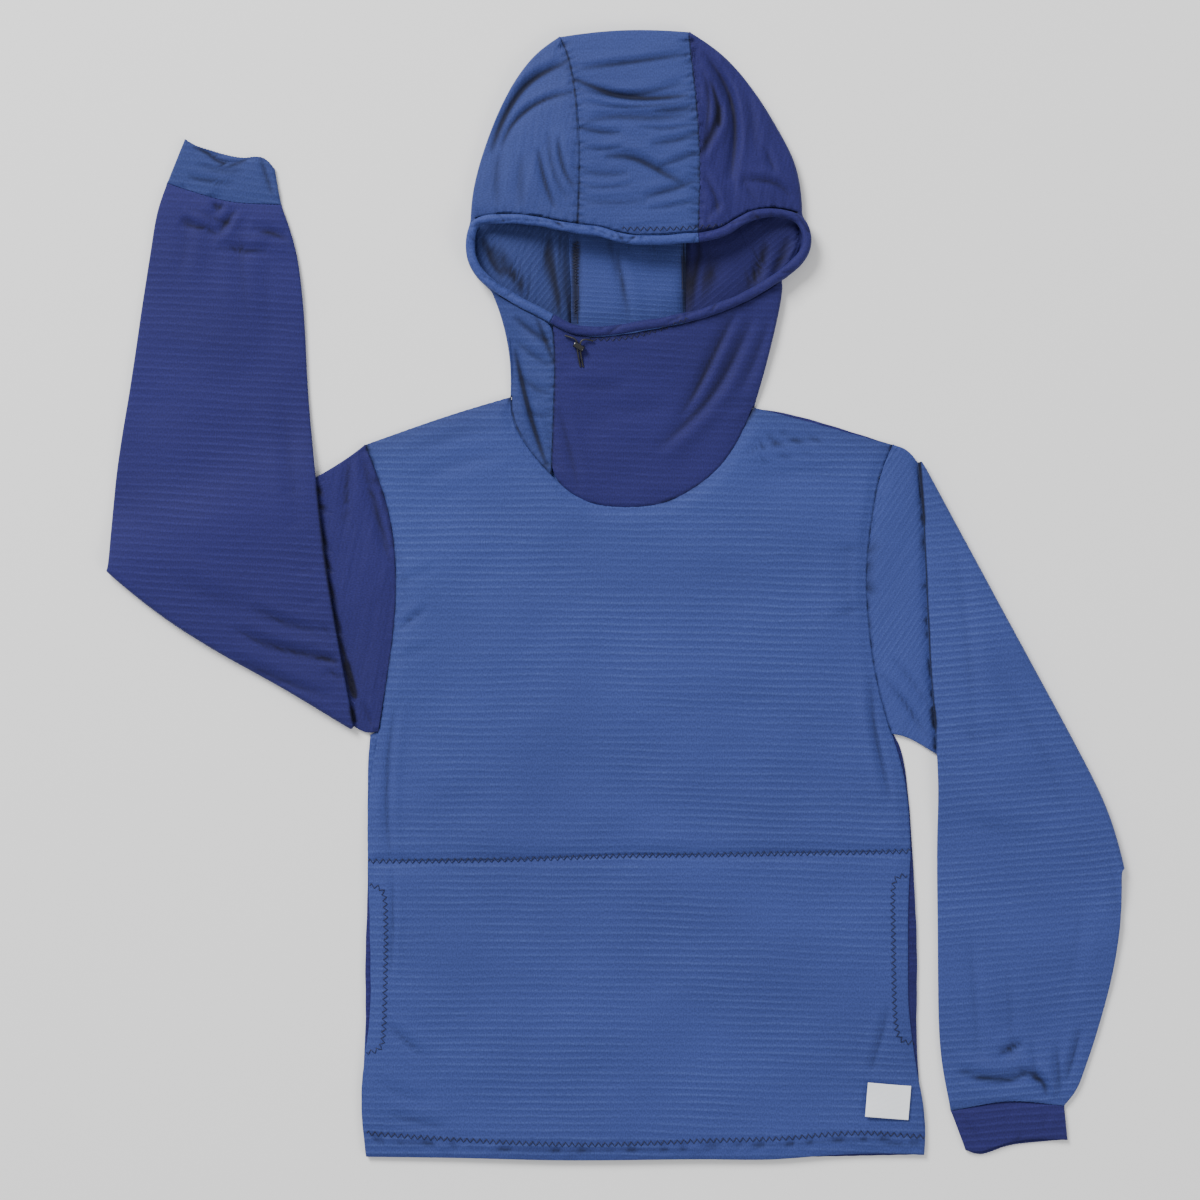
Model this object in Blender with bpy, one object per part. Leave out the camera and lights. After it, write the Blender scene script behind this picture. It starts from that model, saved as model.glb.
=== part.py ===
"""A hooded pullover in light blue and indigo ribbed knit, laid flat on its back.

The hood points along +Y, the hem along -Y, and the floor is at z = 0. Every panel is a wall of
cloth of even thickness. Its middle surface is stretched between the panel's own seam lines, which
neighbours share, and it stands back a little from each seam. Sleeves and cuffs are tubes through
rings. Each sleeve is folded over at its elbow, so the forearm lies on the upper arm. The sides of
the hood and the strip over its crown turn round at the outline and come back underneath.

All lengths in the tables are millimetres. The z of a station is the height of the middle of the
cloth there, and wider tables name their columns where they stand.
"""
from collections import namedtuple
from math import cos, pi, radians, sin

import bmesh
import bpy
import numpy as np
from mathutils import Vector
from mathutils.bvhtree import BVHTree

MM = 0.001

# Cloth and the spaces round it
CLOTH = 1.2                    # thickness of one layer
MID = CLOTH / 2                # middle of a layer that lies on the floor
SEAM_SETBACK = 0.2             # each edge stands this far back from its seam line
SLEEVE_SETBACK = 0.4           # the sleeve's rings stand upright there, so they keep further away
CUFF_SETBACK = 0.6
LAYER_GAP = 0.3                # space between a layer and the one that it lies on
ON_BACK = CLOTH + LAYER_GAP + MID        # middle of a layer that lies on the back
ON_POCKET = ON_BACK + LAYER_GAP + CLOTH  # middle of a layer that lies on the pocket's backing

# Sleeves and cuffs
TUBE_DEPTH = 3.0               # middle of one wall to middle of the other, at the tube's edges
TUBE_TOP = MID + TUBE_DEPTH    # middle of the upper wall at the armhole
FOLD_RADIUS = 4.6              # middle of the outer wall round the fold
FOREARM_CROWN = 1.8            # how far the forearm's upper wall rises above its edges
FOREARM_STEPS_DOWN_OVER = 55.0   # length over which the forearm comes down to the floor
CROWN_EASES_OVER = 3           # rings over which that crown grows from the fold
THINNEST_TUBE = CLOTH + LAYER_GAP
HALF_ROUND = (radians(45), 0.0, radians(-45))         # points of a turn between its two leaves
FOLD_ANGLES = (radians(45), radians(90), radians(135))

# Hood and high neck
TURN_RADIUS = 4.5              # turn of the cloth at the hood's outline
TURN_TOP = MID + 2 * TURN_RADIUS
NECK_TURN_RADIUS = 1.3         # the same turn where the neck meets the shoulders
CROWN_BULGE = 2.0              # how far the hood's top stands over the line between its edges
CASING_HALF_WIDTH = 4.5        # turned hem of the face opening, a flattened roll
CASING_HALF_HEIGHT = 3.5
CASING_LOWEST = 14.2           # middle of the roll where it passes over the hood's turned sides
CASING_RISE = 1.0              # the roll's middle stands this far over the panel's edge
RIM_SETBACK = CASING_HALF_WIDTH + 0.8
CROWN_TIP_SETBACK = 0.6        # the turn narrows to a point at each end of the crown's strip
CROWN_TIP_TOP = (90.0, 40.0)   # angles round that point: upper leaf, turn and lower leaf
CROWN_TIP_TURN = (25.0, 0.0, -35.0)
CROWN_TIP_UNDER = (-55.0, -90.0)
HOOD_MIDDLE_Y = 300.0          # the hood's outline turns away from a point at this height
NECK_MIDDLE_Y = 200.0

# Counts of steps along the seams that two pieces share
ARMHOLE_STEPS = 8
SIDE_STEPS = 4
SHOULDER_STEPS = 5
NECK_LEFT_STEPS = 6
NECK_RIGHT_STEPS = 10
POCKET_STEPS = 8
UPPER_ARM_STEPS = 5
FOREARM_STEPS = 12
CUFF_STEPS = 3
CROWN_STEPS = 8
NECK_STEPS = 7
CORNER_STEPS = 6
CENTRE_STEPS = 5
TURN_STEPS = 4
UNDER_STEPS = 4
STRIP_STEPS = 8

Station = namedtuple("Station", "x y z")
Fold = namedtuple("Fold", "zone x0 y0 x1 y1 width depth")
MouthStation = namedtuple("MouthStation", "x y under_y")
Finish = namedtuple("Finish", "name colour roughness metallic")

LIGHT_BLUE = Finish("knit_light_blue", (0.054, 0.107, 0.305, 1.0), 0.85, 0.0)
INDIGO = Finish("knit_indigo", (0.034, 0.045, 0.205, 1.0), 0.85, 0.0)
WOVEN_WHITE = Finish("woven_white", (0.82, 0.83, 0.85, 1.0), 0.7, 0.0)
BLACK_CORD = Finish("cord_black", (0.008, 0.008, 0.01, 1.0), 0.7, 0.0)
BLACK_PLASTIC = Finish("plastic_black", (0.006, 0.006, 0.008, 1.0), 0.3, 0.0)

# --- Seam lines of the body, each from the hood towards the hem or from left to right ---

SHOULDER_LEFT = (
    Station(-225, 134.5, ON_BACK),
    Station(-140, 164.0, 2.4),
    Station(-94, 177.5, 3.0),
)
NECKLINE_LEFT = (
    Station(-94, 177.5, 3.0),
    Station(-93, 156.0, 4.0),
    Station(-78, 130.0, 4.6),
    Station(-58, 107.0, 4.8),
)
NECKLINE_RIGHT = (
    Station(-58, 107.0, 4.8),
    Station(-33, 85.0, 4.8),
    Station(13, 78.0, 4.8),
    Station(46, 82.0, 4.8),
    Station(67, 93.0, 4.8),
    Station(93, 113.0, 4.6),
    Station(112, 142.0, 4.0),
    Station(124, 168.0, 3.0),
)
SHOULDER_RIGHT = (
    Station(124, 168.0, 3.0),
    Station(149, 161.5, 2.8),
    Station(182, 153.0, 2.4),
    Station(220, 142.0, ON_BACK),
    Station(249, 134.5, ON_BACK),
)
ARMHOLE_LEFT = (
    Station(-225, 134.5, ON_BACK),
    Station(-219, 119.0, 3.0),
    Station(-208, 92.0, TUBE_TOP),
    Station(-199, 51.0, TUBE_TOP),
    Station(-197, 9.5, TUBE_TOP),
    Station(-199, -32.0, TUBE_TOP),
    Station(-205, -72.0, TUBE_TOP),
    Station(-213, -123.0, ON_BACK),
)
ARMHOLE_RIGHT = (
    Station(249, 134.5, ON_BACK),
    Station(239, 118.0, 3.0),
    Station(234, 90.0, TUBE_TOP),
    Station(227, 46.0, TUBE_TOP),
    Station(225, 9.0, TUBE_TOP),
    Station(228, -32.0, TUBE_TOP),
    Station(233, -72.0, TUBE_TOP),
    Station(248, -125.0, ON_BACK),
)
SIDE_LEFT = (
    Station(-213, -123.0, ON_BACK),
    Station(-216.5, -145.0, ON_BACK),
    Station(-220.5, -166.0, ON_BACK),
    Station(-223, -192.0, 2.4),
    Station(-222.5, -239.5, ON_POCKET),
)
SIDE_RIGHT = (
    Station(248, -125.0, ON_BACK),
    Station(251.5, -133.5, ON_BACK),
    Station(256.5, -149.0, ON_BACK),
    Station(260.5, -166.5, ON_BACK),
    Station(263.3, -190.0, 2.4),
    Station(265, -230.5, ON_POCKET),
)
POCKET_SEAM = (
    Station(-222.5, -239.5, ON_POCKET),
    Station(-180, -239.5, 4.8),
    Station(-78, -238.0, 5.2),
    Station(3, -234.0, 5.4),
    Station(76, -234.0, 5.4),
    Station(148, -232.5, 5.2),
    Station(225, -231.5, 4.8),
    Station(265, -230.5, ON_POCKET),
)
POCKET_LEFT = (
    Station(-222.5, -239.5, ON_POCKET),
    Station(-221.5, -272.0, ON_POCKET),
    Station(-220, -330.0, ON_POCKET),
    Station(-221, -391.0, ON_POCKET),
    Station(-227, -425.0, ON_POCKET),
    Station(-229.5, -455.0, ON_POCKET),
    Station(-227, -482.0, ON_POCKET),
    Station(-224, -505.0, ON_POCKET),
)
POCKET_RIGHT = (
    Station(265, -230.5, ON_POCKET),
    Station(263, -262.0, ON_POCKET),
    Station(262.5, -330.0, ON_POCKET),
    Station(264, -391.0, ON_POCKET),
    Station(269, -415.0, ON_POCKET),
    Station(271.8, -438.0, ON_POCKET),
    Station(279, -467.5, ON_POCKET),
    Station(279, -493.0, ON_POCKET),
    Station(277, -503.5, ON_POCKET),
)
HEM = (
    Station(-224, -505.0, ON_POCKET),
    Station(-139, -506.0, 4.6),
    Station(-52, -508.0, 5.2),
    Station(76, -507.0, 5.2),
    Station(148, -507.0, 5.0),
    Station(190, -503.5, 4.8),
    Station(254, -502.0, 4.4),
    Station(277, -503.5, ON_POCKET),
)
BACKING_LEFT = (
    Station(-222.6, -242.0, ON_BACK),
    Station(-222.8, -278.0, ON_BACK),
    Station(-225, -328.0, ON_BACK),
    Station(-224, -392.0, ON_BACK),
    Station(-225, -430.0, ON_BACK),
    Station(-223, -500.0, ON_BACK),
)
BACKING_RIGHT = (
    Station(266, -233.0, ON_BACK),
    Station(270, -290.0, ON_BACK),
    Station(271, -340.0, ON_BACK),
    Station(270, -400.0, ON_BACK),
    Station(274, -465.0, ON_BACK),
    Station(273, -499.0, ON_BACK),
)
BACK_SHOULDER_LEFT = (
    Station(-225, 134.5, MID),
    Station(-140, 164.0, MID),
    Station(-94, 177.5, MID),
)
BACK_SHOULDER_RIGHT = (
    Station(124, 168.0, MID),
    Station(150, 163.8, MID),
    Station(182, 155.6, MID),
    Station(220, 143.6, MID),
    Station(240, 137.8, MID),
    Station(249, 134.5, MID),
)
BACK_SIDE_LEFT = (                   # from the corner that shows under the sleeve
    Station(-220.5, -126.4, MID),
    Station(-222, -138.0, MID),
    Station(-223, -170.0, MID),
    Station(-222.8, -266.0, MID),
    Station(-225, -330.0, MID),
    Station(-224, -392.0, MID),
    Station(-228.6, -450.0, MID),
    Station(-224, -505.0, MID),
)
BACK_SIDE_RIGHT = (
    Station(253.8, -130.2, MID),
    Station(257.4, -139.0, MID),
    Station(261.6, -165.0, MID),
    Station(266.6, -221.0, MID),
    Station(270.2, -305.5, MID),
    Station(270.4, -391.0, MID),
    Station(271.8, -438.0, MID),
    Station(279, -467.5, MID),
    Station(277, -503.5, MID),
)
BACK_HEM_LEFT = (
    Station(-224, -505.0, MID),
    Station(-52, -507.0, MID),
    Station(25, -506.0, MID),
)
BACK_HEM_RIGHT = (
    Station(25, -506.0, MID),
    Station(148, -506.0, MID),
    Station(277, -503.5, MID),
)
BACK_NECK_CENTRE = Station(15, 166.8, MID)
BACK_SEAM_FOOT = Station(25, -506.0, MID)

# --- Seam lines of the hood and the high neck ---

HOOD_SEAM_LEFT = (
    Station(-48, 496.5, TURN_TOP),
    Station(-43, 485.0, 14.0),
    Station(-35, 448.0, 21.0),
    Station(-32, 388.0, 24.0),
    Station(-34, 326.0, 24.0),
)
HOOD_SEAM_RIGHT = (
    Station(66, 500.5, TURN_TOP),
    Station(68, 480.0, 15.0),
    Station(72.5, 439.0, 21.5),
    Station(75, 397.0, 24.0),
    Station(74, 319.0, 24.0),
)
HOOD_OUTLINE_LEFT = (
    Station(-50, 500.6, MID),
    Station(-71, 487.0, MID),
    Station(-89, 464.0, MID),
    Station(-109, 425.0, MID),
    Station(-119, 397.0, MID),
    Station(-128, 365.0, MID),
    Station(-130.5, 334.0, MID),
)
HOOD_OUTLINE_RIGHT = (
    Station(65.6, 505.0, MID),
    Station(89.5, 490.5, MID),
    Station(108, 473.5, MID),
    Station(128.6, 446.0, MID),
    Station(147, 416.0, MID),
    Station(163, 384.0, MID),
    Station(167, 360.0, MID),
    Station(168, 338.0, MID),
)
CROWN_EDGE = (                       # where the top leaf starts to turn under
    Station(-48, 496.5, TURN_TOP),
    Station(-20, 500.5, TURN_TOP),
    Station(30, 502.9, TURN_TOP),
    Station(66, 500.5, TURN_TOP),
)
UPPER_RIM_LEFT = (
    Station(-34, 326.0, 24.0),
    Station(-71, 333.5, 22.0),
    Station(-100, 336.0, 18.0),
    Station(-115, 335.0, 13.5),
    Station(-126, 333.0, TURN_TOP),
)
UPPER_RIM_CENTRE = (
    Station(-34, 326.0, 24.0),
    Station(-8.5, 323.0, 24.5),
    Station(12, 316.0, 25.0),
    Station(39, 316.0, 25.0),
    Station(74, 319.0, 24.0),
)
UPPER_RIM_RIGHT = (
    Station(74, 319.0, 24.0),
    Station(95, 323.0, 23.0),
    Station(117.5, 337.0, 20.5),
    Station(141, 342.0, 15.5),
    Station(163.5, 338.0, TURN_TOP),
)
LOWER_RIM_LEFT = (
    Station(-57, 247.0, 16.5),
    Station(-80, 259.0, 15.5),
    Station(-95, 267.5, 13.0),
    Station(-108, 276.0, TURN_TOP),
)
LOWER_RIM_RIGHT = (
    Station(-57, 247.0, 16.5),
    Station(-34, 236.0, 17.5),
    Station(3, 237.0, 18.0),
    Station(37, 243.0, 18.0),
    Station(71.5, 250.0, 17.5),
    Station(106, 262.0, 16.0),
    Station(129, 274.0, 13.0),
    Station(146, 285.0, TURN_TOP),
)
FRONT_SEAM = (
    Station(-57, 247.0, 16.5),
    Station(-54, 210.0, 13.5),
    Station(-55, 180.0, 10.5),
    Station(-56, 148.0, 7.5),
    Station(-58, 107.0, 4.8),
)
NECK_OUTLINE_LEFT = (
    Station(-112.5, 275.0, MID),
    Station(-107, 262.0, MID),
    Station(-99.5, 238.0, MID),
    Station(-94, 202.0, MID),
    Station(-94, 177.5, MID),
)
NECK_OUTLINE_RIGHT = (
    Station(150.5, 284.0, MID),
    Station(149.5, 270.0, MID),
    Station(143, 238.0, MID),
    Station(134, 202.0, MID),
    Station(124, 168.0, MID),
)
CORNER_LEFT = (
    Station(-129.5, 323.0, TURN_TOP),
    Station(-130.5, 311.0, TURN_TOP),
    Station(-128, 298.0, TURN_TOP),
    Station(-120, 286.0, TURN_TOP),
)
CORNER_RIGHT = (
    Station(170.5, 327.0, TURN_TOP),
    Station(172, 313.0, TURN_TOP),
    Station(166.5, 302.0, TURN_TOP),
    Station(157, 293.0, TURN_TOP),
)
BACK_STRIP_LEFT = (Station(-48, 496.5, MID), Station(-37, 168.0, MID))
BACK_STRIP_RIGHT = (Station(66, 500.5, MID), Station(62, 166.5, MID))

# --- Sleeves: over_arm runs from the shoulder's end of the armhole, under_arm from the other ---

LEFT_UPPER_OVER_ARM = (
    Station(-225, 134.5, MID),
    Station(-240, 122.5, MID),
    Station(-250, 115.5, MID),
    Station(-269.5, 104.0, MID),
    Station(-380, 54.0, MID),
    Station(-458, 20.0, MID),
)
LEFT_UPPER_UNDER_ARM = (
    Station(-213, -123.0, MID),
    Station(-225, -124.0, MID),
    Station(-238, -122.0, MID),
)
LEFT_CREASE = (
    Station(-458, 20.0, MID),
    Station(-417, -14.0, MID),
    Station(-362, -50.0, MID),
    Station(-297, -86.0, MID),
    Station(-238, -122.0, MID),
)
LEFT_FOREARM_OVER_ARM = (
    Station(-458, 20.0, MID),
    Station(-449, 103.0, MID),
    Station(-433.4, 202.0, MID),
    Station(-423.2, 274.0, MID),
    Station(-414, 328.0, MID),
    Station(-407, 365.0, MID),
    Station(-403, 369.5, MID),
)
LEFT_FOREARM_UNDER_ARM = (
    Station(-238, -122.0, MID),
    Station(-246, -62.0, MID),
    Station(-258, 9.5, MID),
    Station(-269.5, 105.0, MID),
    Station(-277, 180.0, MID),
    Station(-281, 261.5, MID),
    Station(-289, 320.0, MID),
    Station(-296, 343.0, MID),
    Station(-301, 350.0, MID),
)
LEFT_CUFF_SEAM = (
    Station(-403, 369.5, MID),
    Station(-378, 361.0, MID),
    Station(-349, 353.0, MID),
    Station(-301, 350.0, MID),
)
LEFT_CUFF_MOUTH = (
    MouthStation(-387, 409, 409),
    MouthStation(-377, 401, 403),
    MouthStation(-366, 396, 400),
    MouthStation(-354, 388, 396),
    MouthStation(-339, 389, 393),
    MouthStation(-328, 390, 392),
    MouthStation(-319, 395, 396),
    MouthStation(-307, 382, 382),
)
RIGHT_UPPER_OVER_ARM = (
    Station(249, 134.5, MID),
    Station(263, 129.0, MID),
    Station(276, 120.0, MID),
)
RIGHT_UPPER_UNDER_ARM = (
    Station(248, -125.0, MID),
    Station(262, -126.6, MID),
    Station(271, -131.5, MID),
    Station(289, -143.5, MID),
    Station(380, -197.0, MID),
    Station(458.2, -246.0, MID),
)
RIGHT_CREASE = (
    Station(276, 120.0, MID),
    Station(319, 40.0, MID),
    Station(377.5, -68.0, MID),
    Station(435, -176.0, MID),
    Station(452, -213.0, MID),
    Station(458.2, -246.0, MID),
)
RIGHT_FOREARM_OVER_ARM = (
    Station(276, 120.0, MID),
    Station(277.5, 60.0, MID),
    Station(280, -32.0, MID),
    Station(287.2, -120.0, MID),
    Station(290.6, -155.0, MID),
    Station(289.2, -221.0, MID),
    Station(290.2, -305.5, MID),
    Station(291, -391.0, MID),
    Station(294.2, -437.0, MID),
    Station(301.8, -464.0, MID),
)
RIGHT_FOREARM_UNDER_ARM = (
    Station(458.2, -246.0, MID),
    Station(454, -284.0, MID),
    Station(443, -356.0, MID),
    Station(433, -392.0, MID),
    Station(421, -428.0, MID),
    Station(408, -456.0, MID),
    Station(403, -459.5, MID),
)
RIGHT_CUFF_SEAM = (
    Station(301.8, -464.0, MID),
    Station(354, -455.0, MID),
    Station(403, -459.5, MID),
)
RIGHT_CUFF_MOUTH = (
    MouthStation(315, -499, -499),
    MouthStation(320, -501, -503),
    MouthStation(354, -492, -495),
    MouthStation(382, -489, -492),
    MouthStation(406, -490, -490),
)

# --- The largest folds: a trough where depth is below zero, a ridge where it is above ---

FOLDS = (
    Fold("body", -198, -95, -207, -175, 11, -0.9),
    Fold("body", -207, -175, -199, -246, 11, -0.9),
    Fold("body", 230, -100, 247, -190, 11, -0.9),
    Fold("body", 112, 120, 190, 138, 12, -0.8),
    Fold("body", -205, -387, -165, -415, 12, -0.8),
    Fold("body", -205, -468, -149, -477, 12, -0.8),
    Fold("hood", -91, 222, -68, 130, 8, -3.0),
    Fold("hood", -62, 466, -105, 411, 12, -2.6),
    Fold("hood", -73, 400, -62, 350, 10, -2.0),
    Fold("hood", -24, 459, 60, 444, 10, -2.5),
    Fold("hood", -12, 391, 50, 366, 10, -2.0),
    Fold("hood", 99, 462, 104, 360, 10, -3.0),
    Fold("hood", 88, 455, 93, 415, 9, 1.6),
    Fold("hood", 107, 245, 62, 168, 11, -2.0),
    Fold("hood", 88, 230, 38, 135, 11, 1.4),
    Fold("upper_arm_left", -258, 10, -246, -90, 10, -1.0),
    Fold("forearm_left", -360, 325, -320, 338, 12, -1.2),
    Fold("forearm_left", -400, 60, -290, -30, 22, 1.2),
    Fold("upper_arm_right", 240, -85, 285, -138, 10, -0.8),
    Fold("forearm_right", 315, -438, 365, -436, 12, -1.2),
    Fold("forearm_right", 395, -400, 398, -445, 10, -1.2),
    Fold("forearm_right", 310, 20, 415, -200, 25, 1.2),
)

# Label, cord and cord lock
LABEL_CORNER = (226.5, -438.0)       # upper left corner
LABEL_WIDTH = 39.0
LABEL_HEIGHT = 30.5
LABEL_TURN = radians(-5.0)
LABEL_THICKNESS = 1.0
LABEL_STEPS = (4, 3)
LABEL_CLEARANCE = 0.5
CORD_DIAMETER = 1.6
CORD_POINTS = 22
CORD_ROUTE_LEFT = (                  # z is the height of the cord over the neck's cloth
    Station(-45.5, 231.6, 2.2),
    Station(-41.0, 230.2, 2.6),
    Station(-36.6, 228.8, 3.4),
    Station(-34.3, 226.0, 3.7),
    Station(-34.2, 221.5, 3.7),
    Station(-34.0, 216.0, 3.6),
    Station(-32.6, 209.0, 1.6),
    Station(-31.4, 203.5, 1.4),
)
CORD_ROUTE_RIGHT = (
    Station(-20.0, 226.6, 2.2),
    Station(-24.4, 227.8, 2.6),
    Station(-29.0, 228.2, 3.4),
    Station(-31.7, 226.0, 3.7),
    Station(-31.8, 221.5, 3.7),
    Station(-31.6, 216.0, 3.6),
    Station(-30.2, 209.0, 1.6),
    Station(-29.0, 203.5, 1.4),
)
LOCK_CENTRE = (-33.0, 221.5)
LOCK_RISE = 3.7                      # height of the lock's middle over the neck's cloth
LOCK_LENGTH = 10.0
LOCK_RADIUS = 2.9
LOCK_TURN = radians(-32.0)
LOCK_SLOT = (6.4, 3.0)
LOCK_BEVEL = 0.7
LOCK_SIDES = 16

ROLL_SIDES = 10
RELAX_PASSES = 60
NEAR_ARMHOLE = 1.7                   # crowding of an upper arm's rings towards the armhole
NEAR_UNDERARM = 1.4                  # the same for the rows of the back below the underarm
CURVE_SAMPLES = 16                   # points that a smooth curve is measured by, between stations
STEEPEST_CORNER = 0.4                # sine of the sharpest corner that is set back in full
CASING_STEPS = 32
UP = np.array((0.0, 0.0, 1.0))


def unit(vector):
    """Return the vector at length one."""
    return vector / np.linalg.norm(vector)


def smooth_step(value):
    """Ease from 0 to 1 as value goes from 0 to 1."""
    clamped = np.clip(value, 0.0, 1.0)
    return clamped * clamped * (3.0 - 2.0 * clamped)


def curve(stations, steps, crowding=1.0):
    """Run a smooth line through the stations and return steps + 1 points of it.

    They are evenly spaced, or closer together near the start where crowding is above one.
    """
    knots = np.array([tuple(station) for station in stations], dtype=float)
    spans = np.linalg.norm(np.diff(knots, axis=0), axis=1)
    slopes = np.diff(knots, axis=0) / spans[:, None]
    tangents = np.empty_like(knots)
    tangents[0], tangents[-1] = slopes[0], slopes[-1]
    before, after = spans[:-1, None], spans[1:, None]
    tangents[1:-1] = (slopes[:-1] * after + slopes[1:] * before) / (before + after)
    fine = [knots[0]]
    for index, span in enumerate(spans):
        for t in np.linspace(0.0, 1.0, CURVE_SAMPLES + 1)[1:]:
            fine.append(
                (2 * t**3 - 3 * t**2 + 1) * knots[index]
                + (t**3 - 2 * t**2 + t) * span * tangents[index]
                + (3 * t**2 - 2 * t**3) * knots[index + 1]
                + (t**3 - t**2) * span * tangents[index + 1]
            )
    fine = np.array(fine)
    travelled = np.concatenate(([0.0], np.cumsum(np.linalg.norm(np.diff(fine, axis=0), axis=1))))
    wanted = travelled[-1] * np.linspace(0.0, 1.0, steps + 1) ** crowding
    return np.stack([np.interp(wanted, travelled, fine[:, axis]) for axis in range(3)], axis=1)


def straight(start, end, steps):
    """Return steps + 1 points of the straight line between two points."""
    share = np.linspace(0.0, 1.0, steps + 1)[:, None]
    return (1 - share) * np.array(start, dtype=float) + share * np.array(end, dtype=float)


def chain(*lines):
    """Join lines that meet end to end, keeping each shared point once."""
    return np.concatenate([lines[0]] + [line[1:] for line in lines[1:]])


def stretch(top, bottom, left, right):
    """Fill the surface between four border lines (a Coons patch), as rows of points."""
    down = np.linspace(0.0, 1.0, len(left))[:, None, None]
    across = np.linspace(0.0, 1.0, len(top))[None, :, None]
    between_ends = (1 - down) * top[None] + down * bottom[None]
    between_sides = (1 - across) * left[:, None] + across * right[:, None]
    corners = (
        (1 - down) * ((1 - across) * top[0] + across * top[-1])
        + down * ((1 - across) * bottom[0] + across * bottom[-1])
    )
    return between_ends + between_sides - corners


def relax(rows):
    """Even out the inside of a surface between its borders, so that no two rows cross."""
    result = rows.copy()
    for _ in range(RELAX_PASSES):
        result[1:-1, 1:-1] = (
            result[:-2, 1:-1] + result[2:, 1:-1] + result[1:-1, :-2] + result[1:-1, 2:]
        ) / 4
    return result


def set_back(rows, top=0.0, bottom=0.0, left=0.0, right=0.0):
    """Draw each border of a surface inwards, square to itself, by the given distance.

    The two ends of a border slide along the borders that they meet.
    """
    result = rows.copy()
    borders = (
        (rows[0], rows[1], top, (0, slice(None))),
        (rows[-1], rows[-2], bottom, (-1, slice(None))),
        (rows[:, 0], rows[:, 1], left, (slice(None), 0)),
        (rows[:, -1], rows[:, -2], right, (slice(None), -1)),
    )
    for border, inner, distance, where in borders:
        if distance:
            along = np.gradient(border, axis=0)
            along /= np.linalg.norm(along, axis=1)[:, None]
            inwards = inner - border
            square = inwards - along * np.sum(inwards * along, axis=1)[:, None]
            inwards[1:-1] = square[1:-1]
            depth = np.linalg.norm(square, axis=1) / np.linalg.norm(inwards, axis=1)
            depth = np.maximum(depth, STEEPEST_CORNER)
            inwards /= np.linalg.norm(inwards, axis=1)[:, None]
            result[where] += inwards * (distance / depth)[:, None]
    return result


def fold_heights(points, zone):
    """Return how far each point is raised by the folds of its zone, below zero in a trough."""
    heights = np.zeros(points.shape[:-1])
    for fold in FOLDS:
        if fold.zone != zone:
            continue
        start = np.array((fold.x0, fold.y0), dtype=float)
        run = np.array((fold.x1, fold.y1), dtype=float) - start
        along = np.clip((points[..., :2] - start) @ run / (run @ run), 0.0, 1.0)
        nearest = start + along[..., None] * run
        distance = np.linalg.norm(points[..., :2] - nearest, axis=-1)
        heights += fold.depth * np.exp(-((distance / fold.width) ** 2))
    return heights


def folded(points, zone, lowest=ON_BACK):
    """Move points up and down with the folds of their zone, but not below the height lowest."""
    result = points.copy()
    result[..., 2] = np.maximum(
        points[..., 2] + fold_heights(points, zone), np.minimum(lowest, points[..., 2])
    )
    return result


def material(finish):
    """Return the finish's material, made the first time that it is asked for."""
    if finish.name in bpy.data.materials:
        return bpy.data.materials[finish.name]
    made = bpy.data.materials.new(finish.name)
    made.use_nodes = True
    shader = made.node_tree.nodes["Principled BSDF"]
    shader.inputs["Base Color"].default_value = finish.colour
    shader.inputs["Roughness"].default_value = finish.roughness
    shader.inputs["Metallic"].default_value = finish.metallic
    made.diffuse_color = finish.colour
    return made


def add_object(name, mesh, finish):
    """Put a mesh in the scene as the named piece with its finish, shaded smooth."""
    mesh.materials.append(material(finish))
    mesh.shade_smooth()
    made = bpy.data.objects.new(name, mesh)
    bpy.context.scene.collection.objects.link(made)
    return made


def surface_mesh(name, rows, ring=False, hole=()):
    """Make a mesh from rows of points. ring closes each row; hole holds (row, column) to leave out."""
    shape = bmesh.new()
    verts = [[shape.verts.new(Vector(point) * MM) for point in row] for row in rows]
    columns = len(rows[0])
    for r in range(len(rows) - 1):
        for c in range(columns if ring else columns - 1):
            if (r, c) in hole:
                continue
            nxt = (c + 1) % columns
            shape.faces.new((verts[r][c], verts[r + 1][c], verts[r + 1][nxt], verts[r][nxt]))
    unused = [vert for vert in shape.verts if not vert.link_faces]
    bmesh.ops.delete(shape, geom=unused, context="VERTS")
    bmesh.ops.recalc_face_normals(shape, faces=shape.faces)
    mesh = bpy.data.meshes.new(name)
    shape.to_mesh(mesh)
    shape.free()
    return mesh


def cloth(name, rows, finish, ring=False, hole=()):
    """Give a surface the thickness of the cloth, half of it on each side."""
    piece = add_object(name, surface_mesh(name, rows, ring, hole), finish)
    wall = piece.modifiers.new("cloth", "SOLIDIFY")
    wall.thickness = CLOTH * MM
    wall.offset = 0.0
    return piece


# --- Body ---


def pocket_seam():
    """Return the points of the pocket seam, which the upper and the lower front share."""
    return curve(POCKET_SEAM, 2 * SHOULDER_STEPS + NECK_LEFT_STEPS + NECK_RIGHT_STEPS)


def front_body():
    """Upper front: shoulders and neckline, armholes and sides, down to the pocket seam."""
    top = chain(
        curve(SHOULDER_LEFT, SHOULDER_STEPS),
        curve(NECKLINE_LEFT, NECK_LEFT_STEPS),
        curve(NECKLINE_RIGHT, NECK_RIGHT_STEPS),
        curve(SHOULDER_RIGHT, SHOULDER_STEPS),
    )
    left = chain(curve(ARMHOLE_LEFT, ARMHOLE_STEPS), curve(SIDE_LEFT, SIDE_STEPS))
    right = chain(curve(ARMHOLE_RIGHT, ARMHOLE_STEPS), curve(SIDE_RIGHT, SIDE_STEPS))
    rows = folded(relax(stretch(top, pocket_seam(), left, right)), "body")
    rows = set_back(rows, SEAM_SETBACK, SEAM_SETBACK, SEAM_SETBACK, SEAM_SETBACK)
    return cloth("front_body", rows, LIGHT_BLUE)


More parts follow.
